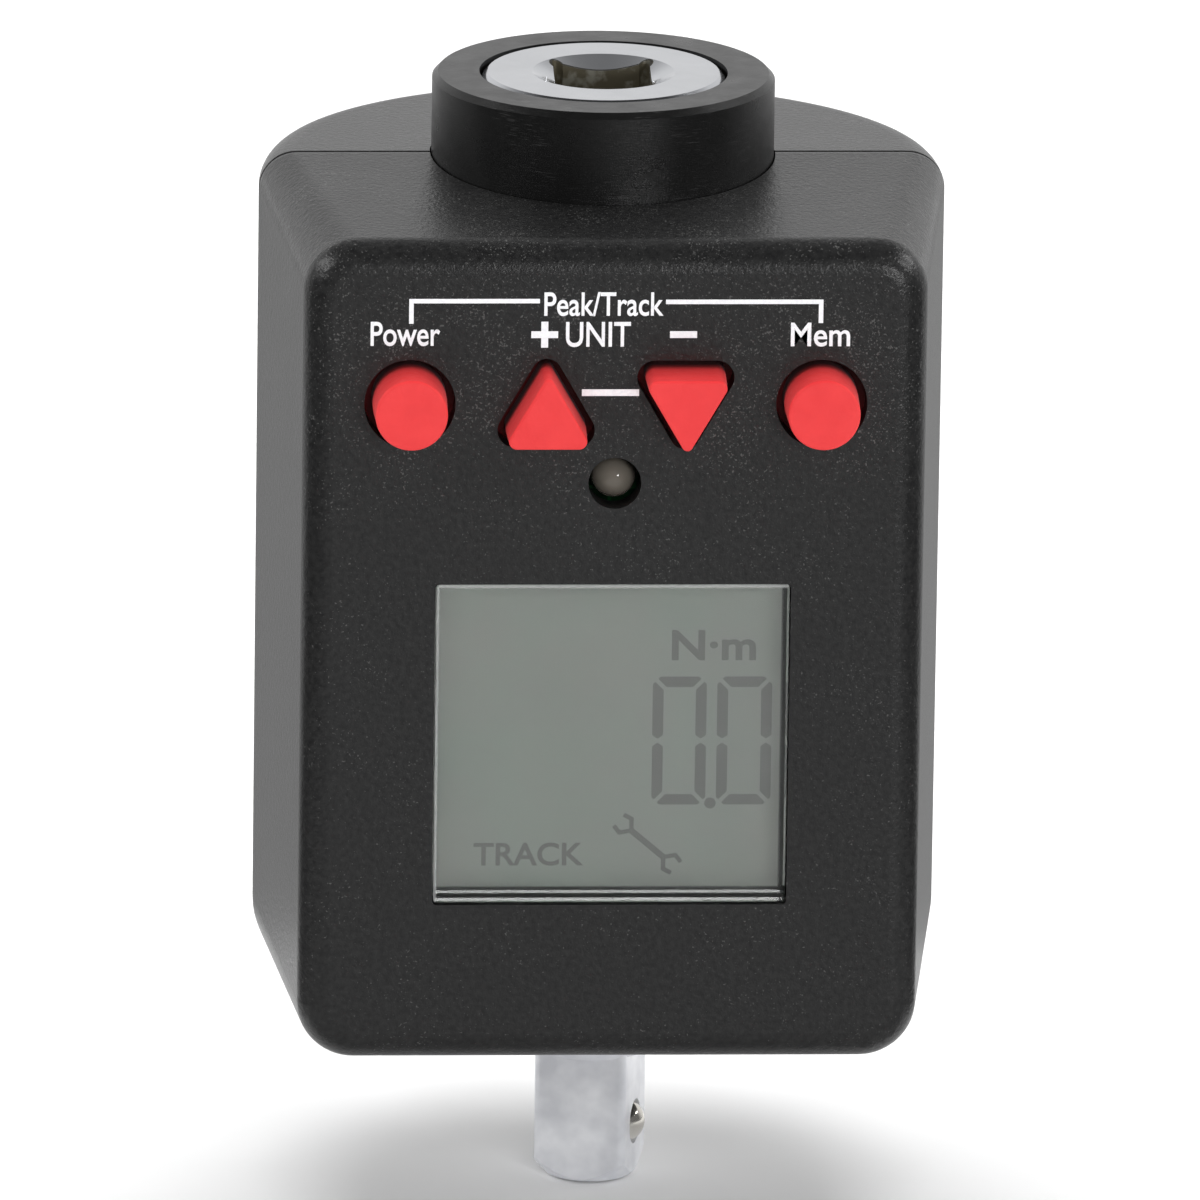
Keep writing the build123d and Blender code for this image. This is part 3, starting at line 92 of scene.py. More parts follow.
class NodeSheet:
    """Node tree of one material, with short calls to add and join nodes."""

    def __init__(self, name: str) -> None:
        """Start an empty material.

        Args:
            name: Name of the new material.
        """
        self.material = bpy.data.materials.new(name)
        self.material.use_nodes = True
        self.tree = self.material.node_tree
        self.shader = self.tree.nodes["Principled BSDF"]
        self.place = self.add("ShaderNodeTexCoord").outputs["Object"]

    def add(self, kind: str, **settings: object) -> bpy.types.Node:
        """Add one node.

        Args:
            kind: Node type name.
            **settings: Node properties to set.

        Returns:
            The new node.
        """
        node = self.tree.nodes.new(kind)
        for key, value in settings.items():
            setattr(node, key, value)
        return node

    def join(self, source: Socket, target: Socket) -> None:
        """Link one socket to another."""
        self.tree.links.new(source, target)

    def feed(self, name: str, source: Socket) -> None:
        """Link a value to one of the shader's sockets."""
        self.join(source, self.shader.inputs[name])

    def noise(self, size: float, detail: float = 2.0, stretch: Triple = (1.0, 1.0, 1.0)) -> Socket:
        """Noise whose blobs are about this size.

        Args:
            size: Size of a blob in metres.
            detail: Octaves of finer noise.
            stretch: How much shorter the blobs are along each axis.

        Returns:
            The noise value, 0 to 1.
        """
        mapping = self.add("ShaderNodeMapping")
        mapping.inputs["Scale"].default_value = stretch
        self.join(self.place, mapping.inputs["Vector"])
        node = self.add("ShaderNodeTexNoise")
        node.inputs["Scale"].default_value = 1.0 / size
        node.inputs["Detail"].default_value = detail
        self.join(mapping.outputs["Vector"], node.inputs["Vector"])
        return node.outputs["Fac"]

    def remap(self, value: Socket, low: float, high: float, out_low: float = 0.0,
              out_high: float = 1.0) -> Socket:
        """Map a value from one range to another, held at the ends.

        Args:
            value: Socket to map.
            low: Input that gives out_low.
            high: Input that gives out_high.
            out_low: Output at the low end.
            out_high: Output at the high end.

        Returns:
            The mapped value.
        """
        node = self.add("ShaderNodeMapRange")
        self.join(value, node.inputs["Value"])
        for key, number in zip(RAMP_ENDS, (low, high, out_low, out_high)):
            node.inputs[key].default_value = number
        return node.outputs["Result"]

    def blend(self, factor: Socket, first: Colour | Socket, second: Colour | Socket) -> Socket:
        """Mix two colours, each a colour or a socket.

        Args:
            factor: Share of the second colour.
            first: Colour where the factor is 0.
            second: Colour where the factor is 1.

        Returns:
            The mixed colour.
        """
        node = self.add("ShaderNodeMix", data_type="RGBA")
        self.join(factor, node.inputs[0])
        for index, colour in zip(MIX_COLOURS, (first, second)):
            if isinstance(colour, tuple):
                node.inputs[index].default_value = (*colour, 1.0)
            else:
                self.join(colour, node.inputs[index])
        return node.outputs[MIX_RESULT]

    def math(self, operation: str, first: object, second: object = 0.0) -> Socket:
        """One step of arithmetic on sockets or numbers.

        Args:
            operation: Blender's name of the operation.
            first: Socket or number.
            second: Socket or number.

        Returns:
            The result.
        """
        node = self.add("ShaderNodeMath", operation=operation)
        for index, value in enumerate((first, second)):
            if isinstance(value, (int, float)):
                node.inputs[index].default_value = value
            else:
                self.join(value, node.inputs[index])
        return node.outputs[0]

    def axes(self) -> list[Socket]:
        """Object coordinates as separate values.

        Returns:
            Sockets for X, Y and Z.
        """
        node = self.add("ShaderNodeSeparateXYZ")
        self.join(self.place, node.inputs[0])
        return list(node.outputs)

    def bump(self, heights: list[tuple[Socket, float]]) -> None:
        """Stack bumps on the shader's normal.

        Args:
            heights: Height sockets, each with its depth in metres.
        """
        normal = None
        for height, depth in heights:
            node = self.add("ShaderNodeBump")
            node.inputs["Distance"].default_value = depth
            self.join(height, node.inputs["Height"])
            if normal is not None:
                self.join(normal, node.inputs["Normal"])
            normal = node.outputs["Normal"]
        self.feed("Normal", normal)

    def set(self, **values: object) -> None:
        """Set shader sockets, named with underscores for spaces."""
        for key, value in values.items():
            self.shader.inputs[key.replace("_", " ")].default_value = value


@dataclass(frozen=True)
class Finish:
    """A surface with tone, roughness and grain that all vary a little.

    Attributes:
        name: Name of the material.
        colour: Linear base colour.
        second: Linear colour that the tone drifts towards.
        roughness: Lowest and highest roughness.
        grain: Kind of grain.
        grain_size: Size of the grain in metres.
        grain_depth: Depth of the grain in metres.
        tone_size: Size of the drifting patches in metres.
        metallic: Metal share.
        specular: Specular level.
    """

    name: str
    colour: Colour
    second: Colour
    roughness: tuple[float, float]
    grain: Grain = Grain.SOFT
    grain_size: float = 0.2 * MM
    grain_depth: float = 0.004 * MM
    tone_size: float = 6.0 * MM
    metallic: float = 0.0
    specular: float = 0.5

    def heights(self, sheet: NodeSheet) -> list[tuple[Socket, float]]:
        """Bumps of this grain.

        Args:
            sheet: Tree to add them to.

        Returns:
            Height sockets with their depths.
        """
        fine = sheet.noise(self.grain_size, detail=3.0)
        if self.grain is Grain.SPARKED:
            coarse = sheet.noise(self.grain_size * COARSE_SIZE, detail=1.0)
            return [(coarse, self.grain_depth * COARSE_DEPTH), (fine, self.grain_depth)]
        if self.grain in GRAIN_LINES:
            stretch, share = GRAIN_LINES[self.grain]
            lines = sheet.noise(self.grain_size * LINE_SIZE, 3.0, stretch)
            return [(lines, self.grain_depth), (fine, self.grain_depth * share)]
        return [(fine, self.grain_depth)]

    def tone(self, sheet: NodeSheet) -> Socket:
        """Base colour drifting between the two colours."""
        drift = sheet.remap(sheet.noise(self.tone_size, detail=4.0), *FADE)
        return sheet.blend(drift, self.colour, self.second)

    def paint(self, sheet: NodeSheet) -> None:
        """Set the colour, the roughness and how metallic it is.

        Args:
            sheet: Tree to add them to.
        """
        sheet.set(Metallic=self.metallic, Specular_IOR_Level=self.specular)
        sheet.feed("Base Color", self.tone(sheet))
        wear = sheet.noise(self.tone_size * WEAR_SIZE, detail=5.0)
        sheet.feed("Roughness", sheet.remap(wear, *WEAR, *self.roughness))

    def extras(self, sheet: NodeSheet) -> None:
        """Hook for what one finish has beyond the common nodes."""

    def material(self) -> bpy.types.Material:
        """Make the material, or return the one made before.

        Returns:
            The Blender material.
        """
        name = "finish_" + self.name
        known = bpy.data.materials.get(name)
        if known:
            return known
        sheet = NodeSheet(name)
        self.paint(sheet)
        sheet.bump(self.heights(sheet))
        self.extras(sheet)
        return sheet.material


@dataclass(frozen=True)
class SparkedPlastic(Finish):
    """Black moulded plastic from a spark eroded tool, with pale specks in the grain that are painted glints.

    Attributes:
        glint_colour: Linear colour of the specks, painted glints of the grain.
        speck_size: Spacing of the specks in metres.
        speck_limit: Noise value above which a speck shows.
        speck_fade: Range of noise values over which it comes in.
        patch_size: Size of the patches with fewer specks.
        patch_shift: What the patches take from the noise, from most to least.
        brow: Levels between which the specks grow denser towards the brow, a painted highlight along it.
        brow_shift: What that adds to the noise at the brow.
        seam_flat: Half width of the bottom of the groove where the shells meet, at Y 0.
        seam: Half width of the whole groove with its rounded edges.
        seam_depth: Depth of that rounding.
    """

    glint_colour: Colour = (0.08, 0.08, 0.078)
    speck_size: float = 0.15 * MM
    speck_limit: float = 0.66
    speck_fade: float = 0.06
    patch_size: float = 5.0 * MM
    patch_shift: Span = (0.06, -0.02)
    brow: Span = (-27.0 * MM, -19.0 * MM)
    brow_shift: float = 0.05
    seam_flat: float = 0.05 * MM
    seam: float = 0.34 * MM
    seam_depth: float = 0.16 * MM

    def heights(self, sheet: NodeSheet) -> list[tuple[Socket, float]]:
        """Bumps of the grain and of the rounded edges at the seam.

        Args:
            sheet: Tree to add them to.

        Returns:
            Height sockets with their depths.
        """
        across = sheet.math("ABSOLUTE", sheet.axes()[1])
        groove = sheet.remap(across, self.seam_flat, self.seam)
        return super().heights(sheet) + [(groove, self.seam_depth)]

    def tone(self, sheet: NodeSheet) -> Socket:
        """Drifting black with the specks, painted glints, laid over it.

        Args:
            sheet: Tree to add it to.

        Returns:
            The colour.
        """
        ground = super().tone(sheet)
        # pale specks are painted glints, denser towards the brow as a painted highlight
        dots = sheet.noise(self.speck_size)
        patches = sheet.remap(sheet.noise(self.patch_size, detail=3.0), *FADE, *self.patch_shift)
        brow = sheet.remap(sheet.axes()[2], *self.brow, 0.0, self.brow_shift)
        level = sheet.math("ADD", sheet.math("SUBTRACT", dots, patches), brow)
        shown = sheet.remap(level, self.speck_limit, self.speck_limit + self.speck_fade)
        return sheet.blend(shown, ground, self.glint_colour)


@dataclass(frozen=True)
class ScratchedPlastic(Finish):
    """Turned black plastic with fine pale scratches round it.

    Attributes:
        scratch: Linear colour of the scratches.
        scratch_size: Length of a scratch in metres.
        scratch_stretch: How much shorter the scratches are along each axis.
        scratch_limits: Noise values between which a scratch comes in.
        scratch_share: How strongly it shows.
        patch_size: Size of the patches that are scratched.
        patch_limits: Noise values between which a patch comes in.
    """

    scratch: Colour = (0.06, 0.06, 0.06)
    scratch_size: float = 1.2 * MM
    scratch_stretch: Triple = (1.0, 1.0, 22.0)
    scratch_limits: Span = (0.62, 0.7)
    scratch_share: float = 0.8
    patch_size: float = 5.0 * MM
    patch_limits: Span = (0.45, 0.62)

    def tone(self, sheet: NodeSheet) -> Socket:
        """Drifting black with the scratches laid over it.

        Args:
            sheet: Tree to add it to.

        Returns:
            The colour.
        """
        ground = super().tone(sheet)
        lines = sheet.noise(self.scratch_size, stretch=self.scratch_stretch)
        scratches = sheet.remap(lines, *self.scratch_limits, 0.0, self.scratch_share)
        patches = sheet.remap(sheet.noise(self.patch_size), *self.patch_limits)
        return sheet.blend(sheet.math("MULTIPLY", scratches, patches), ground, self.scratch)


@dataclass(frozen=True)
class DriveSteel(Finish):
    """Plated steel that is bright on the head, satin on the drive and raw in the socket.

    Attributes:
        raw: Linear colour of the unplated socket walls.
        stain: Linear colour of the oil stains in the socket.
        stain_size: Size of the stains in metres.
        stain_limits: Noise values between which a stain comes in.
        cloud: Linear colour of the worn clouds on the drive.
        shine: Linear colour of the drive between the clouds.
        cloud_size: Size of the clouds in metres.
        wear_size: Size of the patches of rougher steel.
        lead_radius: Radius of the cone that leads into the socket.
        lead_slope: Slope of that cone.
        lead_inset: Distances from the cone's rim over which the raw steel comes in.
        lead_depth: Levels against the cone over which it comes in.
        raw_floor: Levels between which it comes in from below.
        satin: Levels between which the steel turns satin, from above.
        rougher: Roughness that satin and raw steel add.
        duller: What satin and raw steel take from the metal share.
    """

    raw: Colour = (0.19, 0.17, 0.12)
    stain: Colour = (0.42, 0.41, 0.35)
    stain_size: float = 0.9 * MM
    stain_limits: Span = (0.52, 0.66)
    cloud: Colour = (0.72, 0.73, 0.77)
    shine: Colour = (0.94, 0.95, 0.98)
    cloud_size: float = 3.0 * MM
    wear_size: float = 1.4 * MM
    lead_radius: float = 4.75 * MM
    lead_slope: float = 0.466
    lead_inset: Span = (0.03 * MM, 0.06 * MM)
    lead_depth: Span = (-0.02 * MM, -0.1 * MM)
    raw_floor: Span = (-12.0 * MM, -11.0 * MM)
    satin: Span = (-60.0 * MM, -61.0 * MM)
    rougher: Span = (0.16, 0.3)
    duller: Span = (0.6, 0.25)

    def raw_share(self, sheet: NodeSheet) -> Socket:
        """How far a spot is raw steel: inside the cone's rim, under the cone and above the floor.

        Args:
            sheet: Tree to add it to.

        Returns:
            1 on the socket's walls, 0 elsewhere.
        """
        x, y, z = sheet.axes()
        square = sheet.math("ADD", sheet.math("MULTIPLY", x, x), sheet.math("MULTIPLY", y, y))
        inside = sheet.math("SUBTRACT", self.lead_radius, sheet.math("SQRT", square))
        under = sheet.math("ADD", z, sheet.math("MULTIPLY", inside, self.lead_slope))
        within = sheet.remap(inside, *self.lead_inset)
        below = sheet.remap(under, *self.lead_depth)
        above = sheet.remap(z, *self.raw_floor)
        return sheet.math("MULTIPLY", sheet.math("MULTIPLY", within, below), above)

    def paint(self, sheet: NodeSheet) -> None:
        """Set the colour, the roughness and how metallic it is by where the surface lies.

        Args:
            sheet: Tree to add them to.
        """
        raw = self.raw_share(sheet)
        satin = sheet.remap(sheet.axes()[2], *self.satin)
        stains = sheet.remap(sheet.noise(self.stain_size, detail=5.0), *self.stain_limits)
        clouds = sheet.remap(sheet.noise(self.cloud_size, detail=3.0), *FADE)
        plated = sheet.blend(satin, self.tone(sheet), sheet.blend(clouds, self.cloud, self.shine))
        sheet.feed("Base Color", sheet.blend(raw, plated, sheet.blend(stains, self.raw, self.stain)))
        rough = sheet.remap(sheet.noise(self.wear_size, detail=6.0), *WEAR, *self.roughness)
        for share, added in zip((satin, raw), self.rougher):
            rough = sheet.math("ADD", rough, sheet.math("MULTIPLY", share, added))
        sheet.feed("Roughness", rough)
        dull = [sheet.math("MULTIPLY", share, taken) for share, taken in zip((satin, raw), self.duller)]
        sheet.feed("Metallic", sheet.math("SUBTRACT", 1.0, sheet.math("MAXIMUM", *dull)))


@dataclass(frozen=True)
class ClearResin(Finish):
    """Clear or smoked resin that light goes through.

    Attributes:
        index: Refractive index.
        passing: Share of the light that passes.
    """

    index: float = 1.49
    passing: float = 1.0

    def extras(self, sheet: NodeSheet) -> None:
        """Let light through."""
        sheet.set(Transmission_Weight=self.passing, IOR=self.index)


@dataclass(frozen=True)
class WindowResin(ClearResin):
    """Clear window whose left and upper edges are frosted, which paints a highlight along them.

    Attributes:
        left: X of the left edge of the raised field.
        top: Z of its upper edge.
        band: Width of the frosted edge, a painted highlight.
        edge_passing: Share of the light that passes the frosted edge.
        edge_roughness: Roughness of the frosted edge.
    """

    left: float = -11.625 * MM
    top: float = -29.8 * MM
    band: float = 0.22 * MM
    edge_passing: float = 0.55
    edge_roughness: float = 0.3

    def extras(self, sheet: NodeSheet) -> None:
        """Let light through the field and less through its edges, which paints a highlight along them.

        Args:
            sheet: Tree to add it to.
        """
        x, _, z = sheet.axes()
        side, above = sheet.math("SUBTRACT", self.left, x), sheet.math("SUBTRACT", z, self.top)
        # the frosted band along the left and upper edges is a painted highlight
        edge = sheet.remap(sheet.math("MAXIMUM", side, above), -self.band, -self.band / 2)
        sheet.feed("Transmission Weight", sheet.remap(edge, 0.0, 1.0, self.passing, self.edge_passing))
        sheet.feed("Roughness", sheet.remap(edge, 0.0, 1.0, self.roughness[0], self.edge_roughness))
        sheet.set(IOR=self.index)


@dataclass(frozen=True)
class BorderedGlass(Finish):
    """Display glass with painted shade along its lower and right edges.

    Attributes:
        floor: Z below which the painted shade shows.
        side: X beyond which the painted shade shows.
        edge_shade: Linear colour of the painted shade.
        blur: Half width of the painted shade's soft edge.
    """

    floor: float = -51.15 * MM
    side: float = 11.28 * MM
    edge_shade: Colour = (0.03, 0.034, 0.032)
    blur: float = 0.05 * MM

    def tone(self, sheet: NodeSheet) -> Socket:
        """Grey green ground with the painted shade beside it.

        Args:
            sheet: Tree to add it to.

        Returns:
            The colour.
        """
        # painted shade: darker along the lower and right edges of the glass
        x, _, z = sheet.axes()
        beside, under = sheet.math("SUBTRACT", x, self.side), sheet.math("SUBTRACT", self.floor, z)
        edge_shaded = sheet.remap(sheet.math("MAXIMUM", beside, under), -self.blur, self.blur)
        return sheet.blend(edge_shaded, super().tone(sheet), self.edge_shade)


@dataclass(frozen=True)
class SkinRubber(Finish):
    """Coloured rubber with a soft sheen and painted shade in its deep places.

    Attributes:
        sheen: Weight of the sheen.
        sheen_roughness: Roughness of the sheen.
        depth: Y about which the painted shade begins, far behind for none.
        recess_shade_span: Distances from there between which the painted shade comes in.
        recess_shade: Linear colour of the skin in painted shade.
    """

    sheen: float = 0.25
    sheen_roughness: float = 0.4
    depth: float = 1.0
    recess_shade_span: Span = (-0.3 * MM, 0.5 * MM)
    recess_shade: Colour = (0.09, 0.004, 0.005)

    def tone(self, sheet: NodeSheet) -> Socket:
        """Drifting colour with painted shade where the skin lies deep."""
        # painted shade: the colour darkens where the skin lies deep
        deep = sheet.remap(sheet.axes()[1], *(self.depth + span for span in self.recess_shade_span))
        return sheet.blend(deep, super().tone(sheet), self.recess_shade)

    def extras(self, sheet: NodeSheet) -> None:
        """Add the sheen."""
        sheet.set(Sheen_Weight=self.sheen, Sheen_Roughness=self.sheen_roughness)


@dataclass(frozen=True)
class Laminate(Finish):
    """Circuit board with copper tracks that show under the green mask.

    Attributes:
        track: Linear colour over the tracks.
        pitch: Spacing of the tracks in metres.
        tracks: Tracks across one unit of the pattern.
    """

    track: Colour = (0.02, 0.16, 0.05)
    pitch: float = 1.1 * MM
    tracks: float = 6.0

    def tone(self, sheet: NodeSheet) -> Socket:
        """Green mask with lighter tracks.

        Args:
            sheet: Tree to add it to.

        Returns:
            The colour.
        """
        bricks = sheet.add("ShaderNodeTexBrick")
        bricks.inputs["Scale"].default_value = 1.0 / (self.pitch * self.tracks)
        turned = sheet.add("ShaderNodeMapping")
        turned.inputs["Rotation"].default_value = (math.pi / 2, 0.0, 0.0)
        sheet.join(sheet.place, turned.inputs["Vector"])
        sheet.join(turned.outputs["Vector"], bricks.inputs["Vector"])
        return sheet.blend(bricks.outputs["Fac"], super().tone(sheet), self.track)


CASE_PLASTIC = SparkedPlastic("case_plastic", (0.0085, 0.0085, 0.0088), (0.0165, 0.0165, 0.0165), (0.3, 0.33),
                              Grain.SPARKED, 0.13 * MM, 0.02 * MM, 0.4 * MM)
COLLAR_PLASTIC = ScratchedPlastic("collar_plastic", (0.005, 0.005, 0.005), (0.007, 0.007, 0.007),
                                  (0.26, 0.36), Grain.TURNED, 0.12 * MM, 0.012 * MM, specular=0.36)
SHAFT_STEEL = DriveSteel("shaft_steel", (0.58, 0.59, 0.615), (0.53, 0.54, 0.565), (0.12, 0.2), Grain.TURNED,
                         0.2 * MM, 0.0012 * MM)
BALL_STEEL = Finish("ball_steel", (0.72, 0.7, 0.66), (0.6, 0.57, 0.5), (0.08, 0.2), Grain.SOFT, 0.3 * MM,
                    0.001 * MM, metallic=1.0)
SPRING_STEEL = Finish("spring_steel", (0.5, 0.5, 0.5), (0.4, 0.4, 0.42), (0.25, 0.4), Grain.DRAWN,
                      metallic=1.0)
RING_STEEL = Finish("ring_steel", (0.12, 0.12, 0.13), (0.18, 0.17, 0.16), (0.35, 0.5), Grain.TURNED,
                    metallic=1.0)
PIN_STEEL = Finish("pin_steel", (0.6, 0.6, 0.62), (0.5, 0.5, 0.52), (0.2, 0.3), Grain.DRAWN, metallic=1.0)
SCREW_STEEL = Finish("screw_steel", (0.32, 0.32, 0.33), (0.22, 0.22, 0.22), (0.25, 0.4), Grain.TURNED,
                     0.15 * MM, 0.004 * MM, 2.0 * MM, 1.0)
BUSH_PLASTIC = Finish("bush_plastic", (0.5, 0.48, 0.42), (0.42, 0.4, 0.36), (0.4, 0.55), Grain.TURNED)
SEAL_RUBBER = Finish("seal_rubber", (0.012, 0.012, 0.012), (0.02, 0.02, 0.02), (0.5, 0.7))
# depth puts painted shade on each key below the edge of its hole
KEY_RUBBER = SkinRubber("key_rubber", (0.8, 0.042, 0.044), (0.76, 0.036, 0.039), (0.5, 0.62), Grain.SPARKED,
                        0.22 * MM, 0.016 * MM, 1.6 * MM, specular=0.35, sheen=0.05, depth=-19.4 * MM)
MAT_RUBBER = SkinRubber("mat_rubber", (0.5, 0.5, 0.48), (0.42, 0.42, 0.4), (0.55, 0.7))
PILL_CARBON = Finish("pill_carbon", (0.01, 0.01, 0.01), (0.02, 0.02, 0.02), (0.6, 0.8))
LAMP_RESIN = ClearResin("lamp_resin", (0.27, 0.24, 0.2), (0.22, 0.195, 0.165), (0.05, 0.1), Grain.SOFT,
                        0.8 * MM, 0.001 * MM, passing=0.45, index=1.52)
WINDOW_ACRYLIC = WindowResin("window_acrylic", (0.98, 0.99, 0.98), (0.95, 0.97, 0.96), (0.0, 0.02),
                             Grain.SOFT, 1.0 * MM, 0.0002 * MM)
DISPLAY_GLASS = BorderedGlass("display_glass", (0.262, 0.296, 0.262), (0.275, 0.286, 0.262), (0.3, 0.38),
                              Grain.SOFT, 0.3 * MM, 0.0002 * MM, 8.0 * MM, specular=0.3)
DISPLAY_INK = Finish("display_ink", (0.14, 0.14, 0.137), (0.15, 0.15, 0.147), (0.3, 0.4), specular=0.3)
REFLECTOR_FILM = Finish("reflector_film", (0.8, 0.8, 0.8), (0.7, 0.7, 0.7), (0.3, 0.4), metallic=0.6)
GASKET_FOAM = Finish("gasket_foam", (0.01, 0.01, 0.01), (0.02, 0.02, 0.02), (0.8, 0.95), Grain.SPARKED)
FRAME_PLASTIC = Finish("frame_plastic", (0.75, 0.75, 0.72), (0.68, 0.68, 0.65), (0.4, 0.5))
STRIP_RUBBER = Finish("strip_rubber", (0.02, 0.02, 0.02), (0.25, 0.12, 0.1), (0.5, 0.6), Grain.DRAWN)
BOARD_LAMINATE = Laminate("board_laminate", (0.008, 0.075, 0.022), (0.01, 0.09, 0.03), (0.25, 0.4))
CHIP_RESIN = Finish("chip_resin", (0.015, 0.015, 0.016), (0.022, 0.022, 0.022), (0.45, 0.6), Grain.SPARKED)
CAPACITOR_CAN = Finish("capacitor_can", (0.6, 0.6, 0.62), (0.5, 0.5, 0.52), (0.2, 0.3), Grain.DRAWN,
                       metallic=1.0)
TINNED = Finish("tinned_copper", (0.7, 0.7, 0.68), (0.6, 0.58, 0.55), (0.25, 0.4), Grain.DRAWN, metallic=1.0)
FOIL = Finish("gauge_foil", (0.7, 0.32, 0.1), (0.6, 0.26, 0.08), (0.25, 0.4), metallic=0.6)
TRAY_PLASTIC = Finish("tray_plastic", (0.012, 0.012, 0.012), (0.018, 0.018, 0.018), (0.4, 0.5), Grain.SPARKED)
CELL_WRAP = Finish("cell_wrap", (0.3, 0.31, 0.33), (0.25, 0.26, 0.28), (0.2, 0.3), Grain.DRAWN, metallic=0.4)
CONTACT_NICKEL = Finish("contact_nickel", (0.66, 0.63, 0.57), (0.56, 0.53, 0.48), (0.2, 0.35), metallic=1.0)
LEAD_SHEATH = Finish("lead_sheath", (0.35, 0.01, 0.01), (0.28, 0.01, 0.01), (0.35, 0.45))
PRINT_INK = Finish("print_ink", (0.94, 0.95, 0.97), (0.84, 0.85, 0.88), (0.4, 0.6), Grain.SPARKED, 0.1 * MM,
                   0.006 * MM, 0.25 * MM)


def paper(name: str, tone: float, drift: float) -> Finish:
    """Matt grey paper that drifts towards a share of its tone."""
    return Finish(name, (tone,) * 3, (drift * tone,) * 3, (0.85, 0.95), grain_size=1.0 * MM, specular=0.1)


# ---------------------------------------------------------------- making meshes


def stand(name: str, data: bpy.types.ID) -> bpy.types.Object:
    """Put an object with this data in the scene.

    Args:
        name: Name of the object.
        data: Its mesh, curve, light or camera.

    Returns:
        The object, at the origin.
    """
    made = bpy.data.objects.new(name, data)
    bpy.context.scene.collection.objects.link(made)
    return made


def lay_paper(name: str, corners: list[Triple], faces: list[tuple[int, ...]],
              finish: Finish) -> bpy.types.Object:
    """Lay flat paper, which is not part of the object.

    Args:
        name: Name of the sheet.
        corners: Its corners.
        faces: Corner numbers of each face, anticlockwise from above.
        finish: Finish of the paper.

    Returns:
        The sheet.
    """
    mesh = bpy.data.meshes.new(name)
    mesh.from_pydata(corners, [], faces)
    mesh.materials.append(finish.material())
    sheet = stand(name, mesh)
    return sheet


def in_millimetres(points: tuple[Point2, ...]) -> Loop:
    """Points given in millimetres as points in metres."""
    return [(x * MM, z * MM) for x, z in points]


class Workshop:
    """Common work of the sub-assemblies: making pieces and dressing nodes."""

    def dress(self, finishes: dict[str, Finish]) -> None:
        """Give carried-over nodes their finish.

        Args:
            finishes: Finish of each node.
        """
        for node, finish in finishes.items():
            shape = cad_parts[node]
            shape.data.materials.clear()
            shape.data.materials.append(finish.material())
            LOG.info("dressed %s in %s", node, finish.name)

    def piece(self, mesh: bpy.types.Mesh, finish: Finish) -> None:
        """Turn a mesh into a piece that rides on the case.

        Args:
            mesh: Mesh in its place.
            finish: Finish of the piece.
        """
        mesh.materials.clear()
        mesh.materials.append(finish.material())
        made = stand(mesh.name, mesh)
        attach(made, CASE_BODY)
        LOG.info("made %s", made.name)

    def slabs(self, name: str, loops: list[Loop], plane: float, depth: float) -> bpy.types.Mesh:
        """Thin plates that face the front, one for each outline.

        Args:
            name: Name of the mesh.
            loops: Outlines in X and Z, anticlockwise from the front.
            plane: Y of the back of the plates.
            depth: Thickness.

        Returns:
            The mesh.
        """
        shape = bmesh.new()
        for loop in loops:
            back = [shape.verts.new((x, plane, z)) for x, z in loop]
            front = [shape.verts.new((x, plane - depth, z)) for x, z in loop]
            shape.faces.new(front)
            shape.faces.new(list(reversed(back)))
            for i, after in enumerate([*range(1, len(loop)), 0]):
                shape.faces.new((front[i], back[i], back[after], front[after]))
        bmesh.ops.recalc_face_normals(shape, faces=shape.faces[:])
        mesh = bpy.data.meshes.new(name)
        shape.to_mesh(mesh)
        shape.free()
        return mesh


@dataclass
class Lettering:
    """A plain word fitted to a box on a plane that faces the front.

    Attributes:
        words: What it says.
        left: Lowest X.
        right: Highest X.
        top: Highest Z.
        bottom: Lowest Z.
        weight: How much the strokes are thickened, in letter heights.
    """

    words: str
    left: float
    right: float
    top: float
    bottom: float
    weight: float = 0.0

    def mesh(self, name: str, plane: float, depth: float) -> bpy.types.Mesh:
        """Cut the word out of a thin plate.

        Args:
            name: Name of the mesh.
            plane: Y of the back of the plate.
            depth: Thickness.

        Returns:
            The mesh, in its place.
        """
        curve = bpy.data.curves.new(name + "_outline", "FONT")
        curve.body = self.words
        curve.offset = self.weight
        curve.extrude = LETTER_BLANK
        curve.resolution_u = LETTER_STEPS
        holder = stand(name + "_outline", curve)
        graph = bpy.context.evaluated_depsgraph_get()
        mesh = bpy.data.meshes.new_from_object(holder.evaluated_get(graph))
        bpy.data.objects.remove(holder)
        bpy.data.curves.remove(curve)
        mesh.name = name
        corners = [vertex.co.copy() for vertex in mesh.vertices]
        low = Vector(min(c[i] for c in corners) for i in range(3))
        size = Vector(max(c[i] for c in corners) for i in range(3)) - low
        for vertex, corner in zip(mesh.vertices, corners):
            share = [(corner[i] - low[i]) / size[i] for i in range(3)]
            vertex.co = (self.left + share[0] * (self.right - self.left), plane - share[2] * depth,
                         self.bottom + share[1] * (self.top - self.bottom))
        return mesh


def stroke(points: list[Point2], width: float) -> Loop:
    """Outline of a line of this width with mitred corners.

    Args:
        points: Points of the line.
        width: Width of the line.

    Returns:
        The closed outline.
    """
    left, right = [], []
    for i, point in enumerate(points):
        here = Vector(point)
        before = (here - Vector(points[i - 1])).normalized() if i else None
        after = (Vector(points[i + 1]) - here).normalized() if i + 1 < len(points) else None
        along = ((before or after) + (after or before)).normalized()
        across = Vector((-along.y, along.x))
        reach = width / 2 / max(MITRE_LIMIT, along.dot(after or before))
        left.append(tuple(here + across * reach))
        right.append(tuple(here - across * reach))
    return right + left[::-1]


# ---------------------------------------------------------------- sub-assemblies


@dataclass
class CaseShells(Workshop):
    """Two halves of the case, the battery door and the screws."""

    def build(self) -> None:
        """Dress the shells, the door and the screws."""
        self.dress({"front_shell": CASE_PLASTIC, "rear_shell": CASE_PLASTIC, "battery_door": CASE_PLASTIC,
                    "case_screws": SCREW_STEEL})


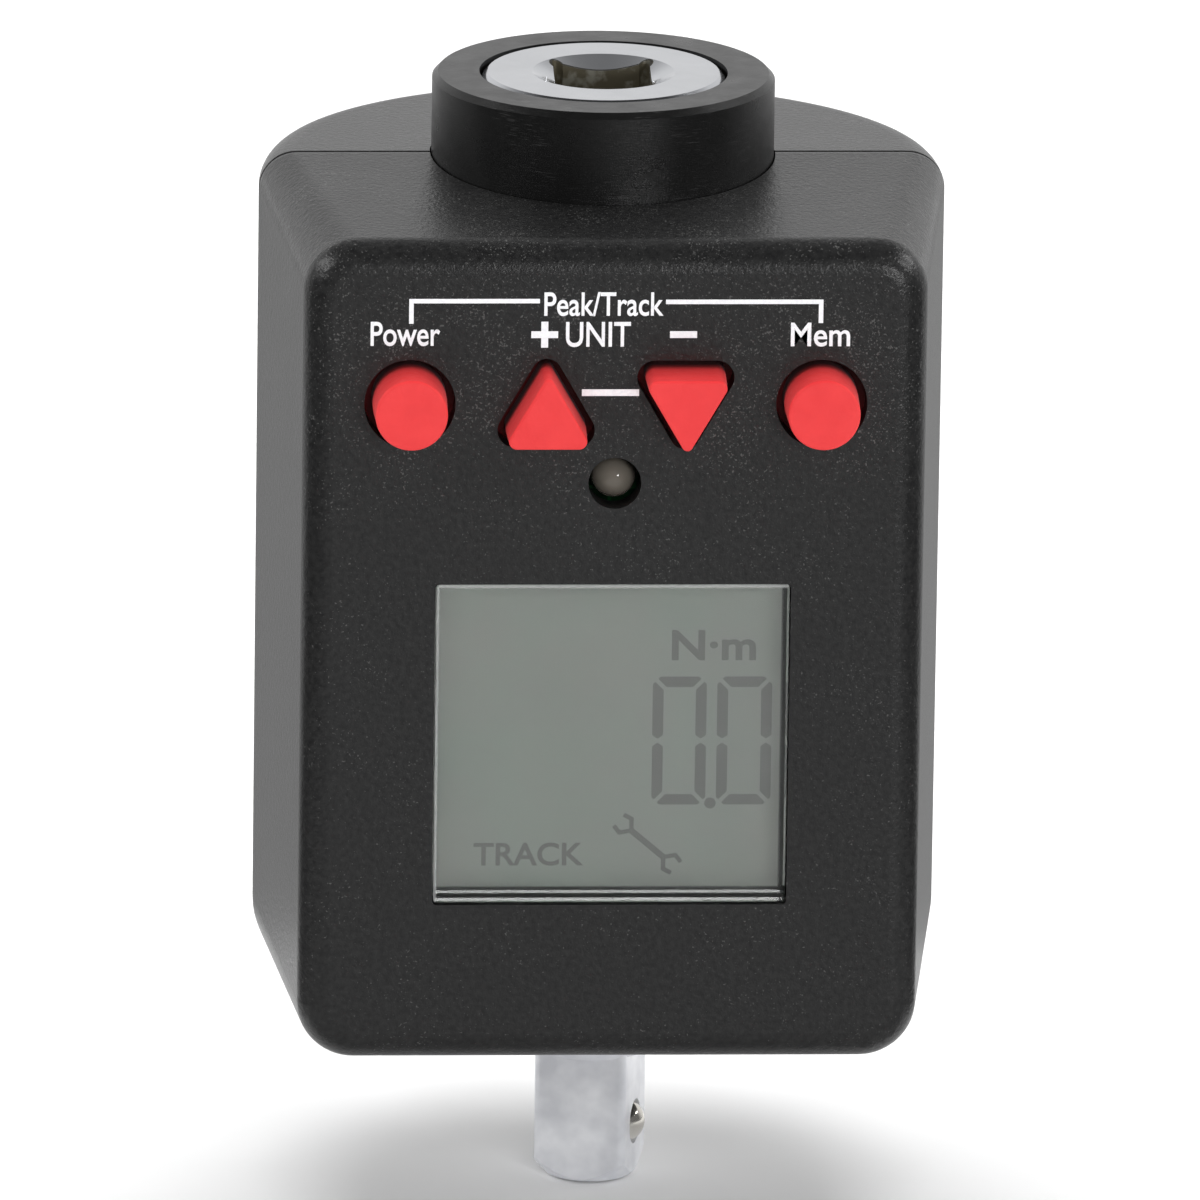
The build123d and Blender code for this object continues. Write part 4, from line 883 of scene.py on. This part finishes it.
@dataclass
class DriveTrain(Workshop):
    """Shaft with its socket and square drive, collar, ball, bearings and seals."""

    def build(self) -> None:
        """Dress every piece of the drive."""
        self.dress({"torque_shaft": SHAFT_STEEL, "collar": COLLAR_PLASTIC, "detent_ball": BALL_STEEL,
                    "detent_spring": SPRING_STEEL, "retaining_ring": RING_STEEL, "locating_pin": PIN_STEEL,
                    "lower_bush": BUSH_PLASTIC, "collar_seal": SEAL_RUBBER, "shaft_seal": SEAL_RUBBER,
                    "strain_gauges": FOIL, "gauge_flex": FOIL})


@dataclass
class Keypad(Workshop):
    """Four keys on a rubber mat, with their carbon pills.

    Attributes:
        keys: What each key is called.
    """

    keys: tuple[str, ...] = ("power", "up", "down", "memory")

    def build(self) -> None:
        """Dress the keys, the mat and the pills."""
        self.dress({f"{key}_button": KEY_RUBBER for key in self.keys})
        self.dress({f"{key}_pill": PILL_CARBON for key in self.keys})
        self.dress({"keypad_mat": MAT_RUBBER})


@dataclass
class Legends(Workshop):
    """White printing round the keys.

    Attributes:
        face: Y of the front of the case.
        ink: Thickness of the print.
        rule: Width of the lines.
        words: Words by the name of their piece.
        arms: Lines in millimetres that join the outer keys' words to the mode word.
        link: Line in millimetres between the arrow keys.
        link_weight: Its width against the other lines.
        plus: X of the middle of the plus sign.
        minus: X of the ends of the minus sign.
        sign_level: Z of both signs.
        reach: Half length of the bars of the plus sign.
        bar: Half width of the bars.
    """

    face: float = -20.0 * MM
    ink: float = 0.03 * MM
    rule: float = 0.3 * MM
    words: dict[str, Lettering] = field(default_factory=lambda: {
        "legend_power": Lettering("Power", -16.16 * MM, -11.6 * MM, -11.8 * MM, -13.45 * MM, 0.012),
        "legend_mode": Lettering("Peak/Track", -4.79 * MM, 3.04 * MM, -9.79 * MM, -11.42 * MM, 0.012),
        "legend_unit": Lettering("UNIT", -3.35 * MM, 0.91 * MM, -11.82 * MM, -13.52 * MM, 0.012),
        "legend_memory": Lettering("Mem", 11.42 * MM, 15.32 * MM, -11.88 * MM, -13.5 * MM, 0.012)})
    arms: tuple[tuple[Point2, ...], ...] = (((-13.5, -11.93), (-13.5, -10.4), (-5.08, -10.4)),
                                            ((3.19, -10.46), (13.38, -10.46), (13.38, -11.9)))
    link: tuple[Point2, ...] = ((-2.25, -16.62), (1.51, -16.62))
    link_weight: float = 1.5
    plus: float = -4.74 * MM
    minus: Span = (3.48 * MM, 5.26 * MM)
    sign_level: float = -12.68 * MM
    reach: float = 0.88 * MM
    bar: float = 0.23 * MM

    def build(self) -> None:
        """Print the words and the lines."""
        for name, word in self.words.items():
            self.piece(word.mesh(name, self.face, self.ink), PRINT_INK)
        self.piece(self.slabs("legend_bracket", self.bracket(), self.face, self.ink), PRINT_INK)
        self.piece(self.slabs("legend_signs", self.signs(), self.face, self.ink), PRINT_INK)

    def bracket(self) -> list[Loop]:
        """Arms of the bracket and the line between the arrow keys."""
        arms = [stroke(in_millimetres(arm), self.rule) for arm in self.arms]
        return [*arms, stroke(in_millimetres(self.link), self.rule * self.link_weight)]

    def signs(self) -> list[Loop]:
        """Plus and minus over the arrow keys.

        Returns:
            One outline for each sign.
        """
        long, short = self.reach, self.bar
        quarter = [(long, short), (short, short), (short, long)]
        half = quarter + [(-x, z) for x, z in reversed(quarter)]
        cross = half + [(-x, -z) for x, z in half]
        plus = [(self.plus + x, self.sign_level + z) for x, z in cross]
        return [plus, stroke([(x, self.sign_level) for x in self.minus], 2 * self.bar)]


@dataclass
class Lamp(Workshop):
    """Smoked round lamp with its pins."""

    def build(self) -> None:
        """Dress the lamp."""
        self.dress({"indicator_led": LAMP_RESIN, "led_pins": TINNED})


@dataclass
class Digit:
    """A nought of six bars.

    Attributes:
        left: Lowest X.
        right: Highest X.
        top: Highest Z.
        bottom: Lowest Z.
        bar: Width of a bar.
        clip: How far the outer corners are cut off.
        corner: Distance of the cuts from the corner.
        gap: Half distance between the bars of a side.
        point: Height of the pointed end of a bar, against its width.
    """

    left: float
    right: float
    top: float
    bottom: float
    bar: float = 0.72 * MM
    clip: float = 0.16 * MM
    corner: float = 0.36 * MM
    gap: float = 0.14 * MM
    point: float = 0.35

    def loops(self) -> list[Loop]:
        """Outlines of the six bars.

        Returns:
            One outline for each bar.
        """
        left, right, top = self.left, self.right, self.top
        bar, clip, corner = self.bar, self.clip, self.corner
        inner = corner + bar - clip
        tip = (top + self.bottom) / 2 + self.gap
        foot = tip + bar * self.point
        cap = [(left + inner, top - bar), (right - inner, top - bar), (right - corner, top - clip),
               (right - corner - clip, top), (left + corner + clip, top), (left + corner, top - clip)]
        side = [(left, top - corner - clip), (left, foot), (left + bar / 2, tip),
                (left + bar, foot), (left + bar, top - inner), (left + clip, top - corner)]
        across = [(left + right - x, z) for x, z in reversed(side)]
        upper = [cap, side, across]
        lower = [[(x, top + self.bottom - z) for x, z in reversed(loop)] for loop in upper]
        return upper + lower


@dataclass
class Spanner:
    """A spanner with two open ends, drawn with plain lines.

    Attributes:
        start: X and Z of the middle of its upper end.
        end: X and Z of the middle of its lower end.
        shank: Width of the shank.
        line: Width of the jaws' lines.
        jaw: Length of a jaw, against the whole length.
        bend: Where a jaw bends, against its length.
        spread: Half width of a jaw at its bend.
        mouth: Half width of a jaw at its tip.
        inset: How far the tip lies from the end.
        parting: How far a jaw's line ends before the shank.
    """

    start: Point2 = (0.62 * MM, -46.5 * MM)
    end: Point2 = (4.6 * MM, -49.9 * MM)
    shank: float = 0.42 * MM
    line: float = 0.3 * MM
    jaw: float = 0.24
    bend: float = 0.55
    spread: float = 0.62 * MM
    mouth: float = 0.5 * MM
    inset: float = 0.1 * MM
    parting: float = 0.05 * MM

    def loops(self) -> list[Loop]:
        """Outlines of the shank and of the four jaws.

        Returns:
            One outline for each line.
        """
        start, end = Vector(self.start), Vector(self.end)
        along = (end - start).normalized()
        across = Vector((-along.y, along.x))
        jaw = self.jaw * (end - start).length
        loops = [stroke([tuple(start + along * jaw), tuple(end - along * jaw)], self.shank)]
        for tip, way in ((start, along), (end, -along)):
            root = tip + way * (jaw - self.parting)
            for side in (-across, across):
                bend = tip + way * jaw * self.bend + side * self.spread
                point = tip + way * self.inset + side * self.mouth
                loops.append(stroke([tuple(root), tuple(bend), tuple(point)], self.line))
        return loops


@dataclass
class Display(Workshop):
    """Window, gasket, display glass with its marks, reflector, frame and contact strips.

    Attributes:
        glass: Y of the front of the glass.
        ink: Thickness of the marks.
        digits: The two noughts.
        dot: X and Z of the decimal point.
        dot_radius: Its radius.
        dot_sides: Sides of its outline.
        words: Words by the name of their piece.
    """

    glass: float = -16.7 * MM
    ink: float = 0.015 * MM
    digits: tuple[Digit, ...] = (Digit(2.83 * MM, 6.4 * MM, -36.7 * MM, -45.5 * MM),
                                 Digit(7.1 * MM, 10.72 * MM, -36.7 * MM, -45.5 * MM))
    dot: Point2 = (6.72 * MM, -45.4 * MM)
    dot_radius: float = 0.38 * MM
    dot_sides: int = 24
    words: dict[str, Lettering] = field(default_factory=lambda: {
        "display_unit": Lettering("N·m", 4.05 * MM, 9.62 * MM, -33.5 * MM, -35.58 * MM, 0.025),
        "display_mode": Lettering("TRACK", -8.9 * MM, -1.6 * MM, -48.1 * MM, -49.7 * MM, 0.02)})

    def build(self) -> None:
        """Dress the layers and draw the marks."""
        self.dress({"display_window": WINDOW_ACRYLIC, "display_panel": DISPLAY_GLASS,
                    "display_reflector": REFLECTOR_FILM, "window_gasket": GASKET_FOAM,
                    "display_frame": FRAME_PLASTIC, "contact_strips": STRIP_RUBBER})
        bars = [loop for digit in self.digits for loop in digit.loops()]
        marks = {"display_digits": [*bars, self.point()], "display_spanner": Spanner().loops()}
        for name, loops in marks.items():
            self.piece(self.slabs(name, loops, self.glass, self.ink), DISPLAY_INK)
        for name, word in self.words.items():
            self.piece(word.mesh(name, self.glass, self.ink), DISPLAY_INK)

    def point(self) -> Loop:
        """Round outline of the decimal point.

        Returns:
            The outline.
        """
        turns = [math.tau * i / self.dot_sides for i in range(self.dot_sides)]
        return [(self.dot[0] + self.dot_radius * math.cos(turn),
                 self.dot[1] + self.dot_radius * math.sin(turn)) for turn in turns]


@dataclass
class Electronics(Workshop):
    """Main board and what is soldered to it."""

    def build(self) -> None:
        """Dress the board and its parts."""
        self.dress({"main_board": BOARD_LAMINATE, "board_chips": CHIP_RESIN, "buzzer": CHIP_RESIN,
                    "board_capacitors": CAPACITOR_CAN, "timing_crystal": CAPACITOR_CAN,
                    "board_screws": SCREW_STEEL})


@dataclass
class BatteryBay(Workshop):
    """Tray, cells, contacts and leads."""

    def build(self) -> None:
        """Dress the tray and what is in it."""
        self.dress({"battery_tray": TRAY_PLASTIC, "left_cell": CELL_WRAP, "right_cell": CELL_WRAP,
                    "battery_plates": CONTACT_NICKEL, "battery_springs": CONTACT_NICKEL,
                    "battery_leads": LEAD_SHEATH})


# ---------------------------------------------------------------- studio


@dataclass
class Softbox:
    """A square area light that faces the middle of the object.

    Attributes:
        name: Name of the light.
        place: Where it hangs.
        size: Side of the square.
        power: Power in watts.
        mirrored: Whether polished surfaces show it.
    """

    name: str
    place: Triple
    size: float
    power: float
    mirrored: bool = True

    def build(self, aim: Vector) -> None:
        """Hang the light.

        Args:
            aim: Point that the light faces.
        """
        data = bpy.data.lights.new(self.name, "AREA")
        data.size = self.size
        data.energy = self.power
        light = stand(self.name, data)
        light.location = self.place
        light.rotation_euler = (aim - light.location).to_track_quat("-Z", "Y").to_euler()
        light.visible_camera = False
        light.visible_glossy = self.mirrored


@dataclass
class Card:
    """Paper card on the floor that only polished surfaces show, as a pair on both sides.

    Attributes:
        name: Name of the card.
        inner: Distance of its inner edge from the middle.
        outer: Distance of its outer edge from the middle.
        near: Y of its front edge.
        far: Y of its back edge.
        tone: Grey of the paper.
        drift: Share of that grey that it drifts towards.
    """

    name: str
    inner: float
    outer: float
    near: float
    far: float
    tone: float
    drift: float = 0.95

    def build(self, level: float) -> None:
        """Lay the pair.

        Args:
            level: Height of the cards.
        """
        outline = ((self.inner, self.near), (self.outer, self.near),
                   (self.outer, self.far), (self.inner, self.far))
        corners = [(side * x, y, level) for side in (-1, 1) for x, y in outline]
        card = lay_paper(self.name, corners, [(3, 2, 1, 0), (4, 5, 6, 7)],
                         paper(self.name + "_paper", self.tone, self.drift))
        for ray in ("camera", "diffuse", "shadow", "transmission", "volume_scatter"):
            setattr(card, "visible_" + ray, False)


@dataclass
class Studio:
    """Pale floor, soft lights, reflection cards and the camera.

    Attributes:
        floor_size: Side of the floor.
        floor_tone: Grey of the floor.
        floor_drift: Share of that grey that it drifts towards.
        floor_drop: How far the floor lies under the drive.
        card_drop: How far the cards lie under the drive.
        sky_front: Strength of the sky in front.
        sky_back: Strength of the sky at the back.
        sky_turn: Y of a direction where the sky leaves the front strength and reaches the back one.
        sky_top: Share of that strength overhead.
        sky_rise: Z of a direction where the sky starts and ends fading upwards.
        azimuth: Turn of the camera about the object in degrees.
        elevation: Height of the camera in degrees.
        distance: Distance of the camera.
        lens: Focal length in millimetres.
        sensor: Width of the sensor in millimetres.
        reach: Farthest distance that the camera shows.
        aim_height: Z that the camera and the lights face.
        aim_side: How far to the right of the middle the camera aims.
        roll: Roll of the camera in degrees.
        lights: The lights.
        cards: The pairs of cards.
    """

    floor_size: float = 6.0
    floor_tone: float = 0.96
    floor_drift: float = 0.99
    floor_drop: float = 0.2 * MM
    card_drop: float = 0.1 * MM
    sky_front: float = 0.17
    sky_back: float = 0.9
    sky_turn: Span = (0.05, 0.6)
    sky_top: float = 0.35
    sky_rise: Span = (0.4, 0.8)
    azimuth: float = -3.188
    elevation: float = 15.83
    distance: float = 1.3593
    lens: float = 610.41
    sensor: float = 36.0
    reach: float = 20.0
    aim_height: float = -36.44 * MM
    aim_side: float = 0.24 * MM
    roll: float = 0.785
    lights: tuple[Softbox, ...] = (Softbox("front_light", (0.12, -1.3, 0.5), 0.4, 4.6, False),
                                   Softbox("left_glint", (-0.8, -0.4, 0.5), 0.14, 1.5),
                                   Softbox("right_glint", (0.8, -0.4, 0.5), 0.14, 1.3),
                                   Softbox("low_light", (0.5, -1.28, 0.16), 0.22, 3.2),
                                   Softbox("left_light", (-0.95, 0.05, 0.62), 0.35, 2.2),
                                   Softbox("right_light", (0.95, 0.1, 0.6), 0.35, 2.6),
                                   Softbox("top_light", (0.0, 0.35, 1.3), 1.2, 18.0, False))
    cards: tuple[Card, ...] = (Card("front_card", 0.0, 0.11, -1.5, -0.02, 0.33),
                               Card("side_card", 0.11, 1.5, -1.5, -0.02, 0.04),
                               Card("near_card", 0.055, 1.5, -0.02, 0.05, 0.04),
                               Card("rear_card", 0.03, 1.5, 0.05, 0.4, 0.44))

    def build(self) -> None:
        """Set up everything round the object."""
        self.floor()
        for card in self.cards:
            card.build(CAD_BOX[0][2] - self.card_drop)
        self.world()
        for light in self.lights:
            light.build(Vector((0.0, 0.0, self.aim_height)))
        self.camera()

    def floor(self) -> None:
        """Lay the floor just under the end of the drive."""
        level = CAD_BOX[0][2] - self.floor_drop
        half = self.floor_size / 2
        corners = [(-half, -half, level), (half, -half, level), (half, half, level), (-half, half, level)]
        lay_paper("studio_floor", corners, [(0, 1, 2, 3)],
                  paper("studio_paper", self.floor_tone, self.floor_drift))

    def world(self) -> None:
        """Pale light from all round, brightest low down at the back."""
        world = bpy.data.worlds.new("studio_world")
        world.use_nodes = True
        tree = world.node_tree
        backdrop = tree.nodes["Background"]
        backdrop.inputs["Color"].default_value = (1.0, 1.0, 1.0, 1.0)
        way = tree.nodes.new("ShaderNodeTexCoord")
        parts = tree.nodes.new("ShaderNodeSeparateXYZ")
        both = tree.nodes.new("ShaderNodeMath")
        both.operation = "MULTIPLY"
        tree.links.new(way.outputs["Generated"], parts.inputs[0])
        spans = (("Y", *self.sky_turn, self.sky_front, self.sky_back),
                 ("Z", *self.sky_rise, 1.0, self.sky_top))
        for index, (axis, *numbers) in enumerate(spans):
            ramp = tree.nodes.new("ShaderNodeMapRange")
            for key, number in zip(RAMP_ENDS, numbers):
                ramp.inputs[key].default_value = number
            tree.links.new(parts.outputs[axis], ramp.inputs["Value"])
            tree.links.new(ramp.outputs["Result"], both.inputs[index])
        tree.links.new(both.outputs[0], backdrop.inputs["Strength"])
        bpy.context.scene.world = world
        bpy.context.scene.view_settings.view_transform = "Standard"

    def camera(self) -> None:
        """Stand the camera in front of the display, a little above it."""
        turn, lift, roll = (math.radians(v) for v in (self.azimuth, self.elevation, self.roll))
        back = Vector((math.sin(turn) * math.cos(lift), -math.cos(turn) * math.cos(lift), math.sin(lift)))
        right = Vector((math.cos(turn), math.sin(turn), 0.0))
        up = back.cross(right)
        aim = Vector((0.0, 0.0, self.aim_height)) + right * self.aim_side
        rolled = right * math.cos(roll) + up * math.sin(roll)
        above = up * math.cos(roll) - right * math.sin(roll)
        data = bpy.data.cameras.new("studio_camera")
        data.lens = self.lens
        data.sensor_width = self.sensor
        data.clip_end = self.reach
        camera = stand("studio_camera", data)
        place = Matrix((rolled, above, back)).transposed().to_4x4()
        place.translation = aim + back * self.distance
        camera.matrix_world = place
        bpy.context.scene.camera = camera


def main() -> None:
    """Build every sub-assembly and the studio."""
    logging.basicConfig(level=logging.INFO, format="%(name)s: %(message)s")
    for part in (CaseShells(), DriveTrain(), Keypad(), Legends(), Lamp(), Display(), Electronics(),
                 BatteryBay(), Studio()):
        part.build()


if __name__ == "__main__":
    main()
